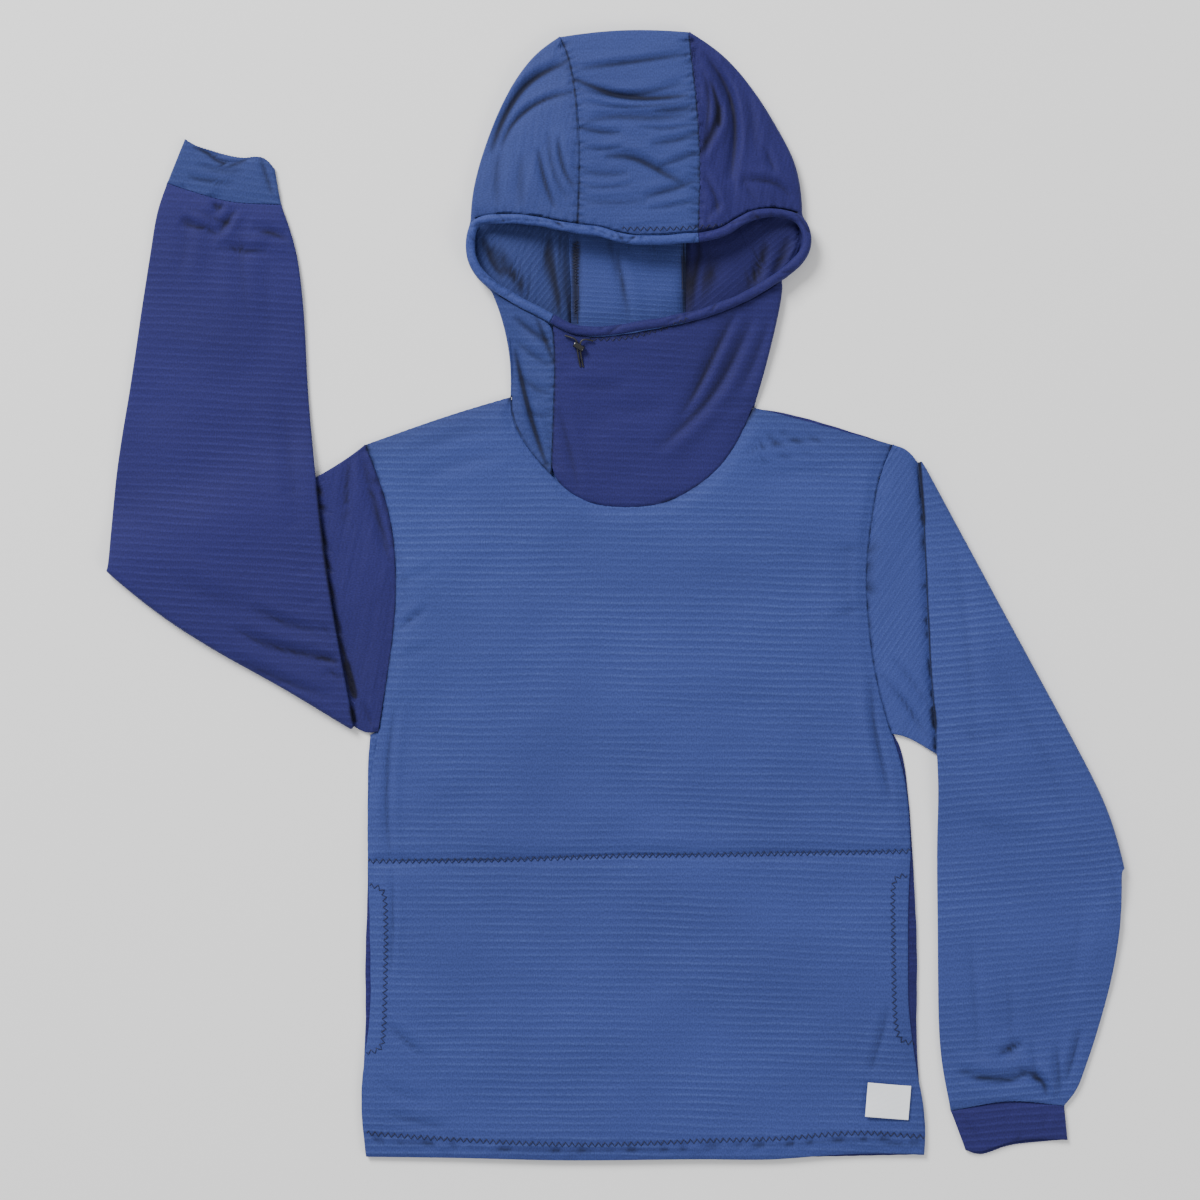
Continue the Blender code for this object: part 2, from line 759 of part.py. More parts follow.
def pocket_front():
    """Lower front, over the pocket, with a mouth at each side."""
    seam = pocket_seam()
    rows = stretch(
        seam,
        curve(HEM, len(seam) - 1),
        curve(POCKET_LEFT, POCKET_STEPS),
        curve(POCKET_RIGHT, POCKET_STEPS),
    )
    rows = folded(rows, "body", ON_POCKET)
    rows = set_back(rows, top=SEAM_SETBACK)
    return cloth("pocket_front", rows, LIGHT_BLUE)


def pocket_back():
    """Backing of the pocket, which lies on the back and shows at both mouths."""
    left = curve(BACKING_LEFT, POCKET_STEPS)
    right = curve(BACKING_RIGHT, POCKET_STEPS)
    steps = SHOULDER_STEPS
    rows = stretch(
        straight(left[0], right[0], steps), straight(left[-1], right[-1], steps), left, right
    )
    return cloth("pocket_back", rows, INDIGO)


def back_half(name, shoulder, neck, armhole, side, hem, seam_on_right, finish):
    """One half of the back, flat on the floor, between its outer edge and the centre seam."""
    flat_armhole = curve(armhole, ARMHOLE_STEPS)
    flat_armhole[:, 2] = MID
    outer = chain(
        flat_armhole,
        straight(flat_armhole[-1], side[0], 1),
        curve(side, POCKET_STEPS, NEAR_UNDERARM),
    )
    centre = straight(BACK_NECK_CENTRE, BACK_SEAM_FOOT, len(outer) - 1)
    top = chain(curve(shoulder, SHOULDER_STEPS), neck) if seam_on_right else chain(
        neck, curve(shoulder, SHOULDER_STEPS)
    )
    bottom = curve(hem, len(top) - 1)
    left, right = (outer, centre) if seam_on_right else (centre, outer)
    rows = stretch(top, bottom, left, right)
    rows = set_back(rows, SEAM_SETBACK, 0.0, SEAM_SETBACK, SEAM_SETBACK)
    return cloth(name, rows, finish)


def back():
    """Both halves of the back."""
    left_neck = chain(
        straight(BACK_SHOULDER_LEFT[-1], BACK_STRIP_LEFT[-1], 2),
        straight(BACK_STRIP_LEFT[-1], BACK_NECK_CENTRE, 1),
    )
    right_neck = chain(
        straight(BACK_NECK_CENTRE, BACK_STRIP_RIGHT[-1], 1),
        straight(BACK_STRIP_RIGHT[-1], BACK_SHOULDER_RIGHT[0], 2),
    )
    back_half(
        "back_left", BACK_SHOULDER_LEFT, left_neck, ARMHOLE_LEFT, BACK_SIDE_LEFT, BACK_HEM_LEFT,
        True, LIGHT_BLUE,
    )
    back_half(
        "back_right", BACK_SHOULDER_RIGHT, right_neck, ARMHOLE_RIGHT, BACK_SIDE_RIGHT,
        BACK_HEM_RIGHT, False, INDIGO,
    )


# --- Sleeves and cuffs ---


def tube_ring(near, away, depths):
    """Close a flattened ring: one wall along near, the other further along away by depths.

    near runs from the over-arm edge to the under-arm edge. At both edges the walls are joined by a
    half round whose outermost point is near's own end.
    """
    wall = near.copy()
    ends = []
    for end, inner in ((0, 1), (-1, -2)):
        outwards = unit((near[end] - near[inner]) - away * np.dot(near[end] - near[inner], away))
        radius = depths[end] / 2
        wall[end] = near[end] - outwards * radius
        centre = wall[end] + away * radius
        ends.append([
            centre + outwards * radius * cos(angle) + away * radius * sin(angle)
            for angle in HALF_ROUND[::-1]
        ])
    other = wall + away[None] * depths[:, None]
    return np.concatenate([wall, ends[1], other[::-1], ends[0][::-1]])


def height_over_upper_arm(points, over_arm_edge):
    """Lift of the forearm: full over the upper arm, easing to nothing past its over-arm edge."""
    start, end = over_arm_edge[0][:2], over_arm_edge[-1][:2]
    along = unit(end - start)
    normal = np.array((-along[1], along[0]))
    past = (points[:, :2] - start) @ normal
    return 1.0 - smooth_step(past / FOREARM_STEPS_DOWN_OVER)


def sleeve(side, finish, armhole, upper_over, upper_under, crease, over, under, cuff_seam, beyond):
    """A sleeve folded over along its crease.

    beyond is the edge of the upper arm past which the forearm lies on the floor, from the crease
    to the armhole or the other way round, so that the floor is on its left.
    """
    steps = ARMHOLE_STEPS
    start = curve(armhole, steps)
    start[:, 2] = MID
    outer_crease = curve(crease, steps)
    run = unit(outer_crease[-1] - outer_crease[0])
    outwards = np.cross(run, UP)
    if np.dot(outwards, outer_crease[steps // 2] - start[steps // 2]) < 0:
        outwards = -outwards
    pivot = outer_crease - outwards * (FOLD_RADIUS + MID)

    upper = stretch(
        start,
        pivot,
        curve(upper_over[:-1] + (Station(*pivot[0]),), UPPER_ARM_STEPS, NEAR_ARMHOLE),
        curve(upper_under[:-1] + (Station(*pivot[-1]),), UPPER_ARM_STEPS, NEAR_ARMHOLE),
    )
    upper = set_back(upper, top=SLEEVE_SETBACK)
    even = np.full(steps + 1, TUBE_DEPTH)
    rings = [
        tube_ring(row, UP, np.maximum(even + fold_heights(row, f"upper_arm_{side}"), THINNEST_TUBE))
        for row in upper
    ]
    for angle in FOLD_ANGLES:
        spoke = outwards * sin(angle) - UP * cos(angle)
        near = pivot + UP * FOLD_RADIUS + spoke * FOLD_RADIUS
        rings.append(tube_ring(near, -spoke, even))

    forearm = stretch(
        pivot,
        curve(cuff_seam, steps),
        curve((Station(*pivot[0]),) + over[1:], FOREARM_STEPS),
        curve((Station(*pivot[-1]),) + under[1:], FOREARM_STEPS),
    )
    forearm = set_back(forearm, bottom=SEAM_SETBACK)
    across = np.sin(pi * np.linspace(0.0, 1.0, steps + 1))
    full_lift = 2 * FOLD_RADIUS - TUBE_DEPTH
    for index, row in enumerate(forearm):
        rise = FOREARM_CROWN * across + fold_heights(row, f"forearm_{side}")
        depths = TUBE_DEPTH + rise * smooth_step(index / CROWN_EASES_OVER)
        depths = np.maximum(depths, THINNEST_TUBE)
        depths[[0, -1]] = TUBE_DEPTH
        near = row.copy()
        near[:, 2] = MID + full_lift * height_over_upper_arm(row, beyond) + depths
        rings.append(tube_ring(near, -UP, depths))
    return cloth(f"sleeve_{side}", rings, finish, ring=True)


def cuff(name, finish, seam, mouth):
    """An open tube from the cuff seam to its mouth, whose lower wall reaches a little further."""
    steps = ARMHOLE_STEPS
    start = curve(seam, steps)
    mouth_upper = curve([Station(m.x, m.y, MID) for m in mouth], steps)
    mouth_lower = curve([Station(m.x, m.under_y, MID) for m in mouth], steps)
    shares = np.linspace(0.0, 1.0, CUFF_STEPS + 1)[:, None, None]
    upper = set_back((1 - shares) * start + shares * mouth_upper, top=CUFF_SETBACK)
    lower = set_back((1 - shares) * start + shares * mouth_lower, top=CUFF_SETBACK)
    first_upper = steps + TURN_STEPS
    rings = []
    for row, row_above in zip(lower, upper):
        ring = tube_ring(row, UP, np.full(steps + 1, TUBE_DEPTH))
        ring[first_upper:first_upper + steps + 1] += (row_above - row)[::-1]
        rings.append(ring)
    return cloth(name, rings, finish, ring=True)


def sleeves():
    """Both sleeves and their cuffs."""
    sleeve(
        "left", INDIGO, ARMHOLE_LEFT, LEFT_UPPER_OVER_ARM, LEFT_UPPER_UNDER_ARM,
        LEFT_CREASE, LEFT_FOREARM_OVER_ARM, LEFT_FOREARM_UNDER_ARM, LEFT_CUFF_SEAM,
        np.array([LEFT_UPPER_OVER_ARM[-1], LEFT_UPPER_OVER_ARM[-3]], dtype=float),
    )
    sleeve(
        "right", LIGHT_BLUE, ARMHOLE_RIGHT, RIGHT_UPPER_OVER_ARM, RIGHT_UPPER_UNDER_ARM,
        RIGHT_CREASE, RIGHT_FOREARM_OVER_ARM, RIGHT_FOREARM_UNDER_ARM, RIGHT_CUFF_SEAM,
        np.array([RIGHT_UPPER_UNDER_ARM[-1], RIGHT_UPPER_UNDER_ARM[-3]], dtype=float),
    )
    cuff("cuff_left", LIGHT_BLUE, LEFT_CUFF_SEAM, LEFT_CUFF_MOUTH)
    cuff("cuff_right", INDIGO, RIGHT_CUFF_SEAM, RIGHT_CUFF_MOUTH)


# --- Hood and high neck ---


def turned_row(leaf, outwards, radius, back_point):
    """Carry a row of the upper leaf round the outline and back underneath to back_point."""
    foot = leaf[-1] * (1, 1, 0) + UP * MID
    turn = [
        foot + outwards * radius * cos(angle) + UP * radius * (1 + sin(angle))
        for angle in HALF_ROUND
    ]
    return np.concatenate([leaf, turn, straight(foot, back_point, UNDER_STEPS)])


def outline_normals(outline, inside):
    """Return the unit normals of an outline that point away from the point inside."""
    along = np.gradient(outline, axis=0)
    normals = np.stack([-along[:, 1], along[:, 0], np.zeros(len(outline))], axis=1)
    normals /= np.linalg.norm(normals, axis=1)[:, None]
    away = np.sum(normals * (outline - inside), axis=1) < 0
    normals[away] *= -1
    return normals


def crown_direction(seam):
    """Return the level direction in which a seam of the hood runs over the crown."""
    step = np.array(seam[0], dtype=float) - np.array(seam[1], dtype=float)
    return unit(step * (1, 1, 0))


def hood_side(name, finish, seam, outline, upper_rim, corner, lower_rim, neckline,
              neck_outline, back_strip, across):
    """One side of the hood with its part of the high neck.

    The upper leaf is two surfaces: from the crown to the upper rim, and from the lower rim to the
    neckline. Between them is the face opening, so round its corner the rows hold only the turn
    and the lower leaf.
    """
    middle = np.array((BACK_NECK_CENTRE.x, HOOD_MIDDLE_Y, MID))
    neck_middle = np.array((BACK_NECK_CENTRE.x, NECK_MIDDLE_Y, MID))
    crown_outline = curve(outline, CROWN_STEPS)
    normals = outline_normals(crown_outline, middle)
    inner = crown_outline - normals * TURN_RADIUS
    inner[:, 2] = TURN_TOP
    seam_line = curve(seam, CROWN_STEPS)
    rim = curve(upper_rim, across)
    inner[-1] = rim[-1]
    crown = stretch(straight(seam_line[1], inner[1], across), rim, seam_line[1:], inner[1:])
    bulge_down = np.sin(pi * np.linspace(0.0, 1.0, CROWN_STEPS))[:, None]
    bulge_across = np.sin(pi * np.linspace(0.0, 1.0, across + 1))[None]
    crown = relax(crown)
    crown[..., 2] += CROWN_BULGE * bulge_down * bulge_across
    crown = set_back(folded(crown, "hood"), bottom=RIM_SETBACK, left=SEAM_SETBACK)

    neck_side = curve(neck_outline, NECK_STEPS)
    radii = np.linspace(TURN_RADIUS, NECK_TURN_RADIUS, NECK_STEPS + 1)
    neck_normals = outline_normals(neck_side, neck_middle)
    neck_inner = neck_side - neck_normals * radii[:, None]
    neck_inner[:, 2] = MID + 2 * radii
    low_rim = curve(lower_rim, across)
    neck_inner[0] = low_rim[-1]
    neck_edge = curve(neckline, across)
    neck_edge[-1] = neck_inner[-1]
    neck = relax(stretch(low_rim, neck_edge, curve(FRONT_SEAM, NECK_STEPS), neck_inner))
    neck = set_back(folded(neck, "hood"), RIM_SETBACK, SEAM_SETBACK, SEAM_SETBACK)

    strip_top, strip_foot = (np.array(end, dtype=float) for end in back_strip)
    side = np.sign(strip_top[0] - BACK_NECK_CENTRE.x) * np.array((1.0, 0.0, 0.0))

    def strip_point(y):
        """Return the point of the back strip's seam at this y."""
        share = (strip_top[1] - y) / (strip_top[1] - strip_foot[1])
        return strip_top + share * (strip_foot - strip_top) + side * SEAM_SETBACK

    tip = seam_line[0] - UP * TURN_RADIUS + side * CROWN_TIP_SETBACK
    outwards = crown_direction(seam)
    angles = np.radians(np.concatenate([
        np.linspace(*CROWN_TIP_TOP, across + 1),
        CROWN_TIP_TURN,
        np.linspace(*CROWN_TIP_UNDER, UNDER_STEPS + 1),
    ]))
    rows = [[tip + (outwards * cos(angle) + UP * sin(angle)) * TURN_RADIUS for angle in angles]]
    for leaf, normal in zip(crown, normals[1:]):
        rows.append(turned_row(leaf, normal, TURN_RADIUS, strip_point(leaf[-1][1])))
    last_crown = len(rows) - 1
    corner_line = curve([Station(*rim[-1]), *corner, Station(*low_rim[-1])], CORNER_STEPS)
    for point, normal in zip(corner_line, outline_normals(corner_line, middle)):
        leaf = np.tile(point, (across + 1, 1))
        rows.append(turned_row(leaf, normal, TURN_RADIUS, strip_point(point[1])))
    first_neck = len(rows)
    drop = neck_inner[-1][1] - strip_foot[1]
    for index, (leaf, normal, radius) in enumerate(zip(neck, neck_normals, radii)):
        y = leaf[-1][1] - (drop - SEAM_SETBACK) * (index / NECK_STEPS) ** 2
        rows.append(turned_row(leaf, normal, radius, strip_point(y)))
    opening = [(r, c) for r in range(last_crown, first_neck) for c in range(across)]
    cloth(name, np.array(rows), finish, hole=opening)
    return rim, low_rim


def hood_centre():
    """Strip from the face opening over the crown and down to the back of the neck."""
    left, right = curve(HOOD_SEAM_LEFT, CROWN_STEPS), curve(HOOD_SEAM_RIGHT, CROWN_STEPS)
    crown = curve(CROWN_EDGE, CENTRE_STEPS)
    outwards = straight(
        crown_direction(HOOD_SEAM_LEFT), crown_direction(HOOD_SEAM_RIGHT), CENTRE_STEPS
    )
    rim = curve(UPPER_RIM_CENTRE, CENTRE_STEPS)
    top = stretch(crown, rim, left, right)
    top = set_back(folded(top, "hood"), bottom=RIM_SETBACK)
    turn = [
        crown + (outwards * cos(angle) + UP * (sin(angle) - 1)) * TURN_RADIUS
        for angle in HALF_ROUND
    ]
    flat = crown * (1, 1, 0) + UP * MID
    neck = straight(BACK_STRIP_LEFT[-1], BACK_STRIP_RIGHT[-1], CENTRE_STEPS)
    neck[:, 1] += SEAM_SETBACK
    under = [flat + share * (neck - flat) for share in np.linspace(0.0, 1.0, STRIP_STEPS + 1)]
    rows = np.array(list(top[::-1]) + turn + under)
    rows = set_back(rows, left=SEAM_SETBACK, right=SEAM_SETBACK)
    cloth("hood_centre", rows, LIGHT_BLUE)
    return rim


def casing(name, finish, upper_lines, corner, lower_rim):
    """Turned hem of the face opening: a flattened roll round one side of it."""
    upper = chain(*upper_lines) if len(upper_lines) > 1 else upper_lines[0]
    path = curve([*upper, *corner, *lower_rim[::-1]], CASING_STEPS)
    path[:, 2] = np.maximum(path[:, 2] + CASING_RISE, CASING_LOWEST)
    along = np.gradient(path, axis=0)
    along[:, 2] = 0.0
    along /= np.linalg.norm(along, axis=1)[:, None]
    path[0] += along[0] * SEAM_SETBACK
    path[-1] -= along[-1] * SEAM_SETBACK
    sideways = np.cross(along, UP)
    shape = bmesh.new()
    rings = []
    for centre, side in zip(path, sideways):
        rings.append([
            shape.verts.new(Vector(
                centre
                + side * CASING_HALF_WIDTH * cos(turn)
                + UP * CASING_HALF_HEIGHT * sin(turn)
            ) * MM)
            for turn in np.linspace(0.0, 2 * pi, ROLL_SIDES, endpoint=False)
        ])
    for ring, following in zip(rings[:-1], rings[1:]):
        for k in range(ROLL_SIDES):
            nxt = (k + 1) % ROLL_SIDES
            shape.faces.new((ring[k], ring[nxt], following[nxt], following[k]))
    shape.faces.new(rings[0][::-1])
    shape.faces.new(rings[-1])
    bmesh.ops.recalc_face_normals(shape, faces=shape.faces)
    mesh = bpy.data.meshes.new(name)
    shape.to_mesh(mesh)
    shape.free()
    return add_object(name, mesh, finish)


def hood():
    """The hood's three pieces and the two arcs of its casing."""
    left_upper, left_lower = hood_side(
        "hood_left", LIGHT_BLUE, HOOD_SEAM_LEFT, HOOD_OUTLINE_LEFT, UPPER_RIM_LEFT, CORNER_LEFT,
        LOWER_RIM_LEFT, NECKLINE_LEFT[::-1], NECK_OUTLINE_LEFT, BACK_STRIP_LEFT, NECK_LEFT_STEPS,
    )
    right_upper, right_lower = hood_side(
        "hood_right", INDIGO, HOOD_SEAM_RIGHT, HOOD_OUTLINE_RIGHT, UPPER_RIM_RIGHT, CORNER_RIGHT,
        LOWER_RIM_RIGHT, NECKLINE_RIGHT, NECK_OUTLINE_RIGHT, BACK_STRIP_RIGHT, NECK_RIGHT_STEPS,
    )
    centre = hood_centre()
    casing("casing_left", LIGHT_BLUE, (centre[::-1], left_upper), CORNER_LEFT, left_lower)
    casing("casing_right", INDIGO, (right_upper,), CORNER_RIGHT, right_lower)


# --- Label, cord and cord lock ---


def surface_height(piece, x, y):
    """Height of the highest cloth of a piece over a point, in millimetres."""
    evaluated = piece.evaluated_get(bpy.context.evaluated_depsgraph_get())
    tree = BVHTree.FromObject(evaluated, bpy.context.evaluated_depsgraph_get())
    hit = tree.ray_cast(Vector((x, y, 100.0)) * MM, Vector((0.0, 0.0, -1.0)))
    return hit[0].z / MM


def label(panel):
    """Blank woven label, which follows the cloth that it lies on."""
    across = np.array((cos(LABEL_TURN), sin(LABEL_TURN)))
    down = np.array((across[1], -across[0]))
    lift = LABEL_CLEARANCE + LABEL_THICKNESS / 2
    rows = []
    for v in np.linspace(0.0, LABEL_HEIGHT, LABEL_STEPS[1] + 1):
        row = []
        for u in np.linspace(0.0, LABEL_WIDTH, LABEL_STEPS[0] + 1):
            x, y = np.array(LABEL_CORNER) + across * u + down * v
            row.append((x, y, surface_height(panel, x, y) + lift))
        rows.append(row)
    piece = cloth("label", np.array(rows), WOVEN_WHITE)
    piece.modifiers["cloth"].thickness = LABEL_THICKNESS * MM
    return piece


def cord(name, route, panel):
    """A free end of the drawcord, a round tube along a smooth route over the neck."""
    stations = [Station(s.x, s.y, surface_height(panel, s.x, s.y) + s.z) for s in route]
    line = bpy.data.curves.new(name, "CURVE")
    line.dimensions = "3D"
    line.bevel_depth = CORD_DIAMETER / 2 * MM
    line.bevel_resolution = 2
    line.use_fill_caps = True
    spline = line.splines.new("POLY")
    spline.points.add(CORD_POINTS)
    for place, point in zip(spline.points, curve(stations, CORD_POINTS)):
        place.co = (*(point * MM), 1.0)
    line.materials.append(material(BLACK_CORD))
    made = bpy.data.objects.new(name, line)
    bpy.context.scene.collection.objects.link(made)
    return made


def cord_lock(panel):
    """A small round barrel with a slot through it, in which both cord ends run."""
    height = surface_height(panel, *LOCK_CENTRE) + LOCK_RISE
    shape = bmesh.new()
    bmesh.ops.create_cone(
        shape, cap_ends=True, segments=LOCK_SIDES, radius1=LOCK_RADIUS * MM,
        radius2=LOCK_RADIUS * MM, depth=LOCK_LENGTH * MM,
    )
    rims = [edge for edge in shape.edges if len(edge.link_faces) == 2
            and max(len(face.verts) for face in edge.link_faces) > 4]
    bmesh.ops.bevel(
        shape, geom=rims, offset=LOCK_BEVEL * MM, segments=2, profile=0.5, affect="EDGES",
        material=-1,
    )
    mesh = bpy.data.meshes.new("cord_lock")
    shape.to_mesh(mesh)
    shape.free()
    lock = add_object("cord_lock", mesh, BLACK_PLASTIC)
    lock.location = Vector((*LOCK_CENTRE, height)) * MM
    lock.rotation_euler = (0.0, pi / 2, LOCK_TURN)

    width, depth = LOCK_SLOT
    cutter_shape = bmesh.new()
    bmesh.ops.create_cube(cutter_shape, size=1.0)
    bmesh.ops.scale(cutter_shape, verts=cutter_shape.verts,
                    vec=Vector((width, 4 * LOCK_RADIUS, depth)) * MM)
    cutter_mesh = bpy.data.meshes.new("cord_slot")
    cutter_shape.to_mesh(cutter_mesh)
    cutter_shape.free()
    cutter = bpy.data.objects.new("cord_slot", cutter_mesh)
    bpy.context.scene.collection.objects.link(cutter)
    cutter.location = lock.location
    cutter.hide_render = True
    cutter.display_type = "WIRE"
    slot = lock.modifiers.new("slot", "BOOLEAN")
    slot.operation = "DIFFERENCE"
    slot.object = cutter
    return lock


def clear_scene():
    """Remove every object that the scene starts with."""
    for old in list(bpy.data.objects):
        bpy.data.objects.remove(old, do_unlink=True)


def main():
    """Build the garment piece by piece."""
    clear_scene()
    front_body()
    pocket = pocket_front()
    pocket_back()
    back()
    sleeves()
    hood()
    bpy.context.view_layer.update()
    label(pocket)
    neck = bpy.data.objects["hood_right"]
    cord("drawcord_left", CORD_ROUTE_LEFT, neck)
    cord("drawcord_right", CORD_ROUTE_RIGHT, neck)
    cord_lock(neck)


main()
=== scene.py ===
"""Looks of a two-tone blue hoodie in ribbed jersey, laid flat and seen from straight above.

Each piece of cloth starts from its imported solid, is made finer, and then gets the garment's creases,
seam puckers and knit. Lengths in the tables are millimetres unless a name says otherwise.
"""

import logging
import math
from collections.abc import Callable, Sequence
from dataclasses import dataclass, field
from enum import Enum

import bmesh
import bpy
import numpy as np
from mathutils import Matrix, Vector
from mathutils.bvhtree import BVHTree
from mathutils.kdtree import KDTree


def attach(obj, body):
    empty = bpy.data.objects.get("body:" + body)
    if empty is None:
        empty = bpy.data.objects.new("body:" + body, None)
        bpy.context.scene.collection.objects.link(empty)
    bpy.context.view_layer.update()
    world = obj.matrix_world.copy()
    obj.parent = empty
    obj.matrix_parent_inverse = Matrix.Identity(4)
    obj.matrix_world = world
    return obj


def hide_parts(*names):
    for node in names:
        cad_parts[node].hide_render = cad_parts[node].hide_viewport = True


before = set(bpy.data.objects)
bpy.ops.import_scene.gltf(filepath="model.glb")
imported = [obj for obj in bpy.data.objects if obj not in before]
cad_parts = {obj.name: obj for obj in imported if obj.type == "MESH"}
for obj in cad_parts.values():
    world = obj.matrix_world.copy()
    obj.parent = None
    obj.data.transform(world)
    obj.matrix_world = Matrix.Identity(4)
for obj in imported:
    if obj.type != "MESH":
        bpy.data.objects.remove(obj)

log = logging.getLogger("hoodie")

MM = 0.001
BODY = "root"
GRAIN = "grain"                  # the UV map that the knit follows, in metres
PAINTED_SHADE = "shade"                  # painted shade at each point, from nought to one, deepest in folds and seams
PLAIN = "plain"                  # one where the cloth is pulled plain and wrinkles instead of ribs


class Leaf(Enum):
    """Which part of a turned piece a crease lies on."""

    ANY = "any"
    OUTSIDE = "outside"
    INSIDE = "inside"


Line = tuple[tuple[float, float], ...]


@dataclass(frozen=True)
class Crease:
    """A soft ridge (height above zero) or trough (below) along a line over the cloth.

    shoulder is the height of the swelling beside it, on the left of the line, or on the right where
    the value is below zero. Both fade out at the line's ends. A trough also takes painted shade
    along its bottom, which fades out with it.
    """

    line: Line
    height: float
    width: float
    shoulder: float
    leaf: Leaf


def crease_table(leaf: Leaf, *rows: tuple) -> tuple[Crease, ...]:
    """Make the creases of one leaf.

    Args:
        leaf: The leaf that they lie on.
        rows: Each crease's height, width and shoulder, and then the points of its line.

    Returns:
        The creases, in the order of their rows.
    """
    return tuple(
        Crease(tuple(line), height, width, shoulder, leaf) for height, width, shoulder, *line in rows
    )


@dataclass(frozen=True)
class Seam:
    """A sewn line, along which the cloth sinks a little and gathers in short cross wrinkles.

    pucker is the wrinkles' height, pitch their spacing and reach how far they run from the line.
    sink is how deep the cloth sinks along it, tone the painted shade along it and half_width how
    wide that shade is. The wrinkles' troughs take painted shade too. Some lines have no pucker and
    are used mainly for painted shade, such as the shadow beside a lifted fold.
    """

    line: Line
    pucker: float = 0.35
    pitch: float = 7.0
    reach: float = 7.0
    sink: float = 0.3
    tone: float = 0.6
    half_width: float = 0.9
    leaf: Leaf = Leaf.ANY


@dataclass(frozen=True)
class Swell:
    """A broad, low rise or hollow of the cloth, an ellipse in plan."""

    x: float
    y: float
    reach_x: float
    reach_y: float
    height: float


# --- Shader graphs ---


class Graph:
    """Short calls for building a node tree."""

    colours_in = (6, 7)              # the Mix node's sockets for colours
    colour_out = 2

    def __init__(self, tree: bpy.types.NodeTree) -> None:
        """Keep the tree that nodes are added to."""
        self.tree = tree

    def add(self, kind: str, **values: object) -> bpy.types.Node:
        """Add a node of a kind, named without its ShaderNode, and set its properties.

        Args:
            kind: The node's type, without its first part.
            values: Its properties.

        Returns:
            The node.
        """
        node = self.tree.nodes.new(f"ShaderNode{kind}")
        for name, value in values.items():
            setattr(node, name, value)
        return node

    def put(self, socket: bpy.types.NodeSocket, value: object) -> None:
        """Link a socket to another socket, or set it to a plain value.

        Args:
            socket: The input.
            value: What goes into it.
        """
        if isinstance(value, bpy.types.NodeSocket):
            self.tree.links.new(value, socket)
        else:
            socket.default_value = value

    def fill(self, node: bpy.types.Node, **values: object) -> bpy.types.bpy_prop_collection:
        """Put values in a node's inputs, with an underscore for a space, and return its outputs.

        Args:
            node: The node.
            values: Each input's name, and what goes into it.

        Returns:
            The node's outputs.
        """
        for name, value in values.items():
            self.put(node.inputs[name.replace("_", " ")], value)
        return node.outputs

    def group(self, tree: bpy.types.NodeTree, **values: object) -> bpy.types.bpy_prop_collection:
        """Add a node group with its own values, and return its outputs."""
        return self.fill(self.add("Group", node_tree=tree), **values)

    def place(self) -> bpy.types.NodeSocket:
        """Return the place on the object."""
        return self.add("TexCoord").outputs["Object"]

    def grain(self) -> bpy.types.NodeSocket:
        """Return the place along and across the knit."""
        return self.add("UVMap", uv_map=GRAIN).outputs["UV"]

    def attribute(self, name: str) -> bpy.types.NodeSocket:
        """Return a value that is stored at each point of the mesh."""
        return self.add("Attribute", attribute_name=name).outputs["Fac"]

    def math(self, operation: str, *values: object) -> bpy.types.NodeSocket:
        """Return the result of a Math node on the given values.

        Args:
            operation: What the node does.
            values: What it works on.

        Returns:
            The result.
        """
        node = self.add("Math", operation=operation)
        for socket, value in zip(node.inputs, values):
            self.put(socket, value)
        return node.outputs[0]

    def times(self, first: object, second: object) -> bpy.types.NodeSocket:
        """Return the product of two values."""
        return self.math("MULTIPLY", first, second)

    def plus(self, first: object, second: object) -> bpy.types.NodeSocket:
        """Return the sum of two values."""
        return self.math("ADD", first, second)

    def wave(self, turns: object) -> bpy.types.NodeSocket:
        """Return the cosine of a number of full turns."""
        return self.math("COSINE", self.times(turns, math.tau))

    def span(self, value: object, low: float, high: float, to_low: float = 0.0,
             to_high: float = 1.0) -> bpy.types.NodeSocket:
        """Return a value smoothly carried from one range to another, and held at its ends.

        Args:
            value: The value.
            low: Start of its range.
            high: End of its range.
            to_low: What the start becomes.
            to_high: What the end becomes.

        Returns:
            The carried value.
        """
        node = self.add("MapRange", interpolation_type="SMOOTHSTEP")
        return self.fill(node, Value=value, From_Min=low, From_Max=high, To_Min=to_low,
                         To_Max=to_high)["Result"]

    def mix(self, share: object, first: object, second: object,
            blend: str = "MIX") -> bpy.types.NodeSocket:
        """Return a mix of two colours.

        Args:
            share: How far the second colour shows.
            first: One colour.
            second: The other.
            blend: How the second is laid over the first.

        Returns:
            The mixed colour.
        """
        node = self.add("Mix", data_type="RGBA", blend_type=blend)
        self.put(node.inputs["Factor"], share)
        for number, colour in zip(self.colours_in, (first, second)):
            self.put(node.inputs[number], colour)
        return node.outputs[self.colour_out]

    def toned(self, colour: object, tone: object) -> bpy.types.NodeSocket:
        """Return a colour made darker by a tone below one, or lighter by one above."""
        grey = self.fill(self.add("CombineColor"), Red=tone, Green=tone, Blue=tone)["Color"]
        return self.mix(1.0, colour, grey, "MULTIPLY")

    def noise(self, vector: object, scale: Sequence[float], detail: float = 2.0,
              turn: float = 0.0) -> bpy.types.NodeSocket:
        """Return a noise from nought to one.

        Args:
            vector: Where the noise is read.
            scale: Waves to a unit along each axis.
            detail: How many finer layers it has.
            turn: Turn about z after the scaling, in degrees.

        Returns:
            The noise.
        """
        rotation = (0.0, 0.0, math.radians(turn))
        mapped = self.fill(self.add("Mapping"), Vector=vector, Scale=scale, Rotation=rotation)
        return self.fill(self.add("TexNoise"), Vector=mapped["Vector"], Scale=1.0,
                         Detail=detail)["Fac"]

    def bump(self, height: object, strength: float, distance: float,
             **normal: object) -> bpy.types.NodeSocket:
        """Return a normal tilted by a height whose full distance is in metres."""
        return self.fill(self.add("Bump"), Strength=strength, Distance=distance, Height=height,
                         **normal)["Normal"]


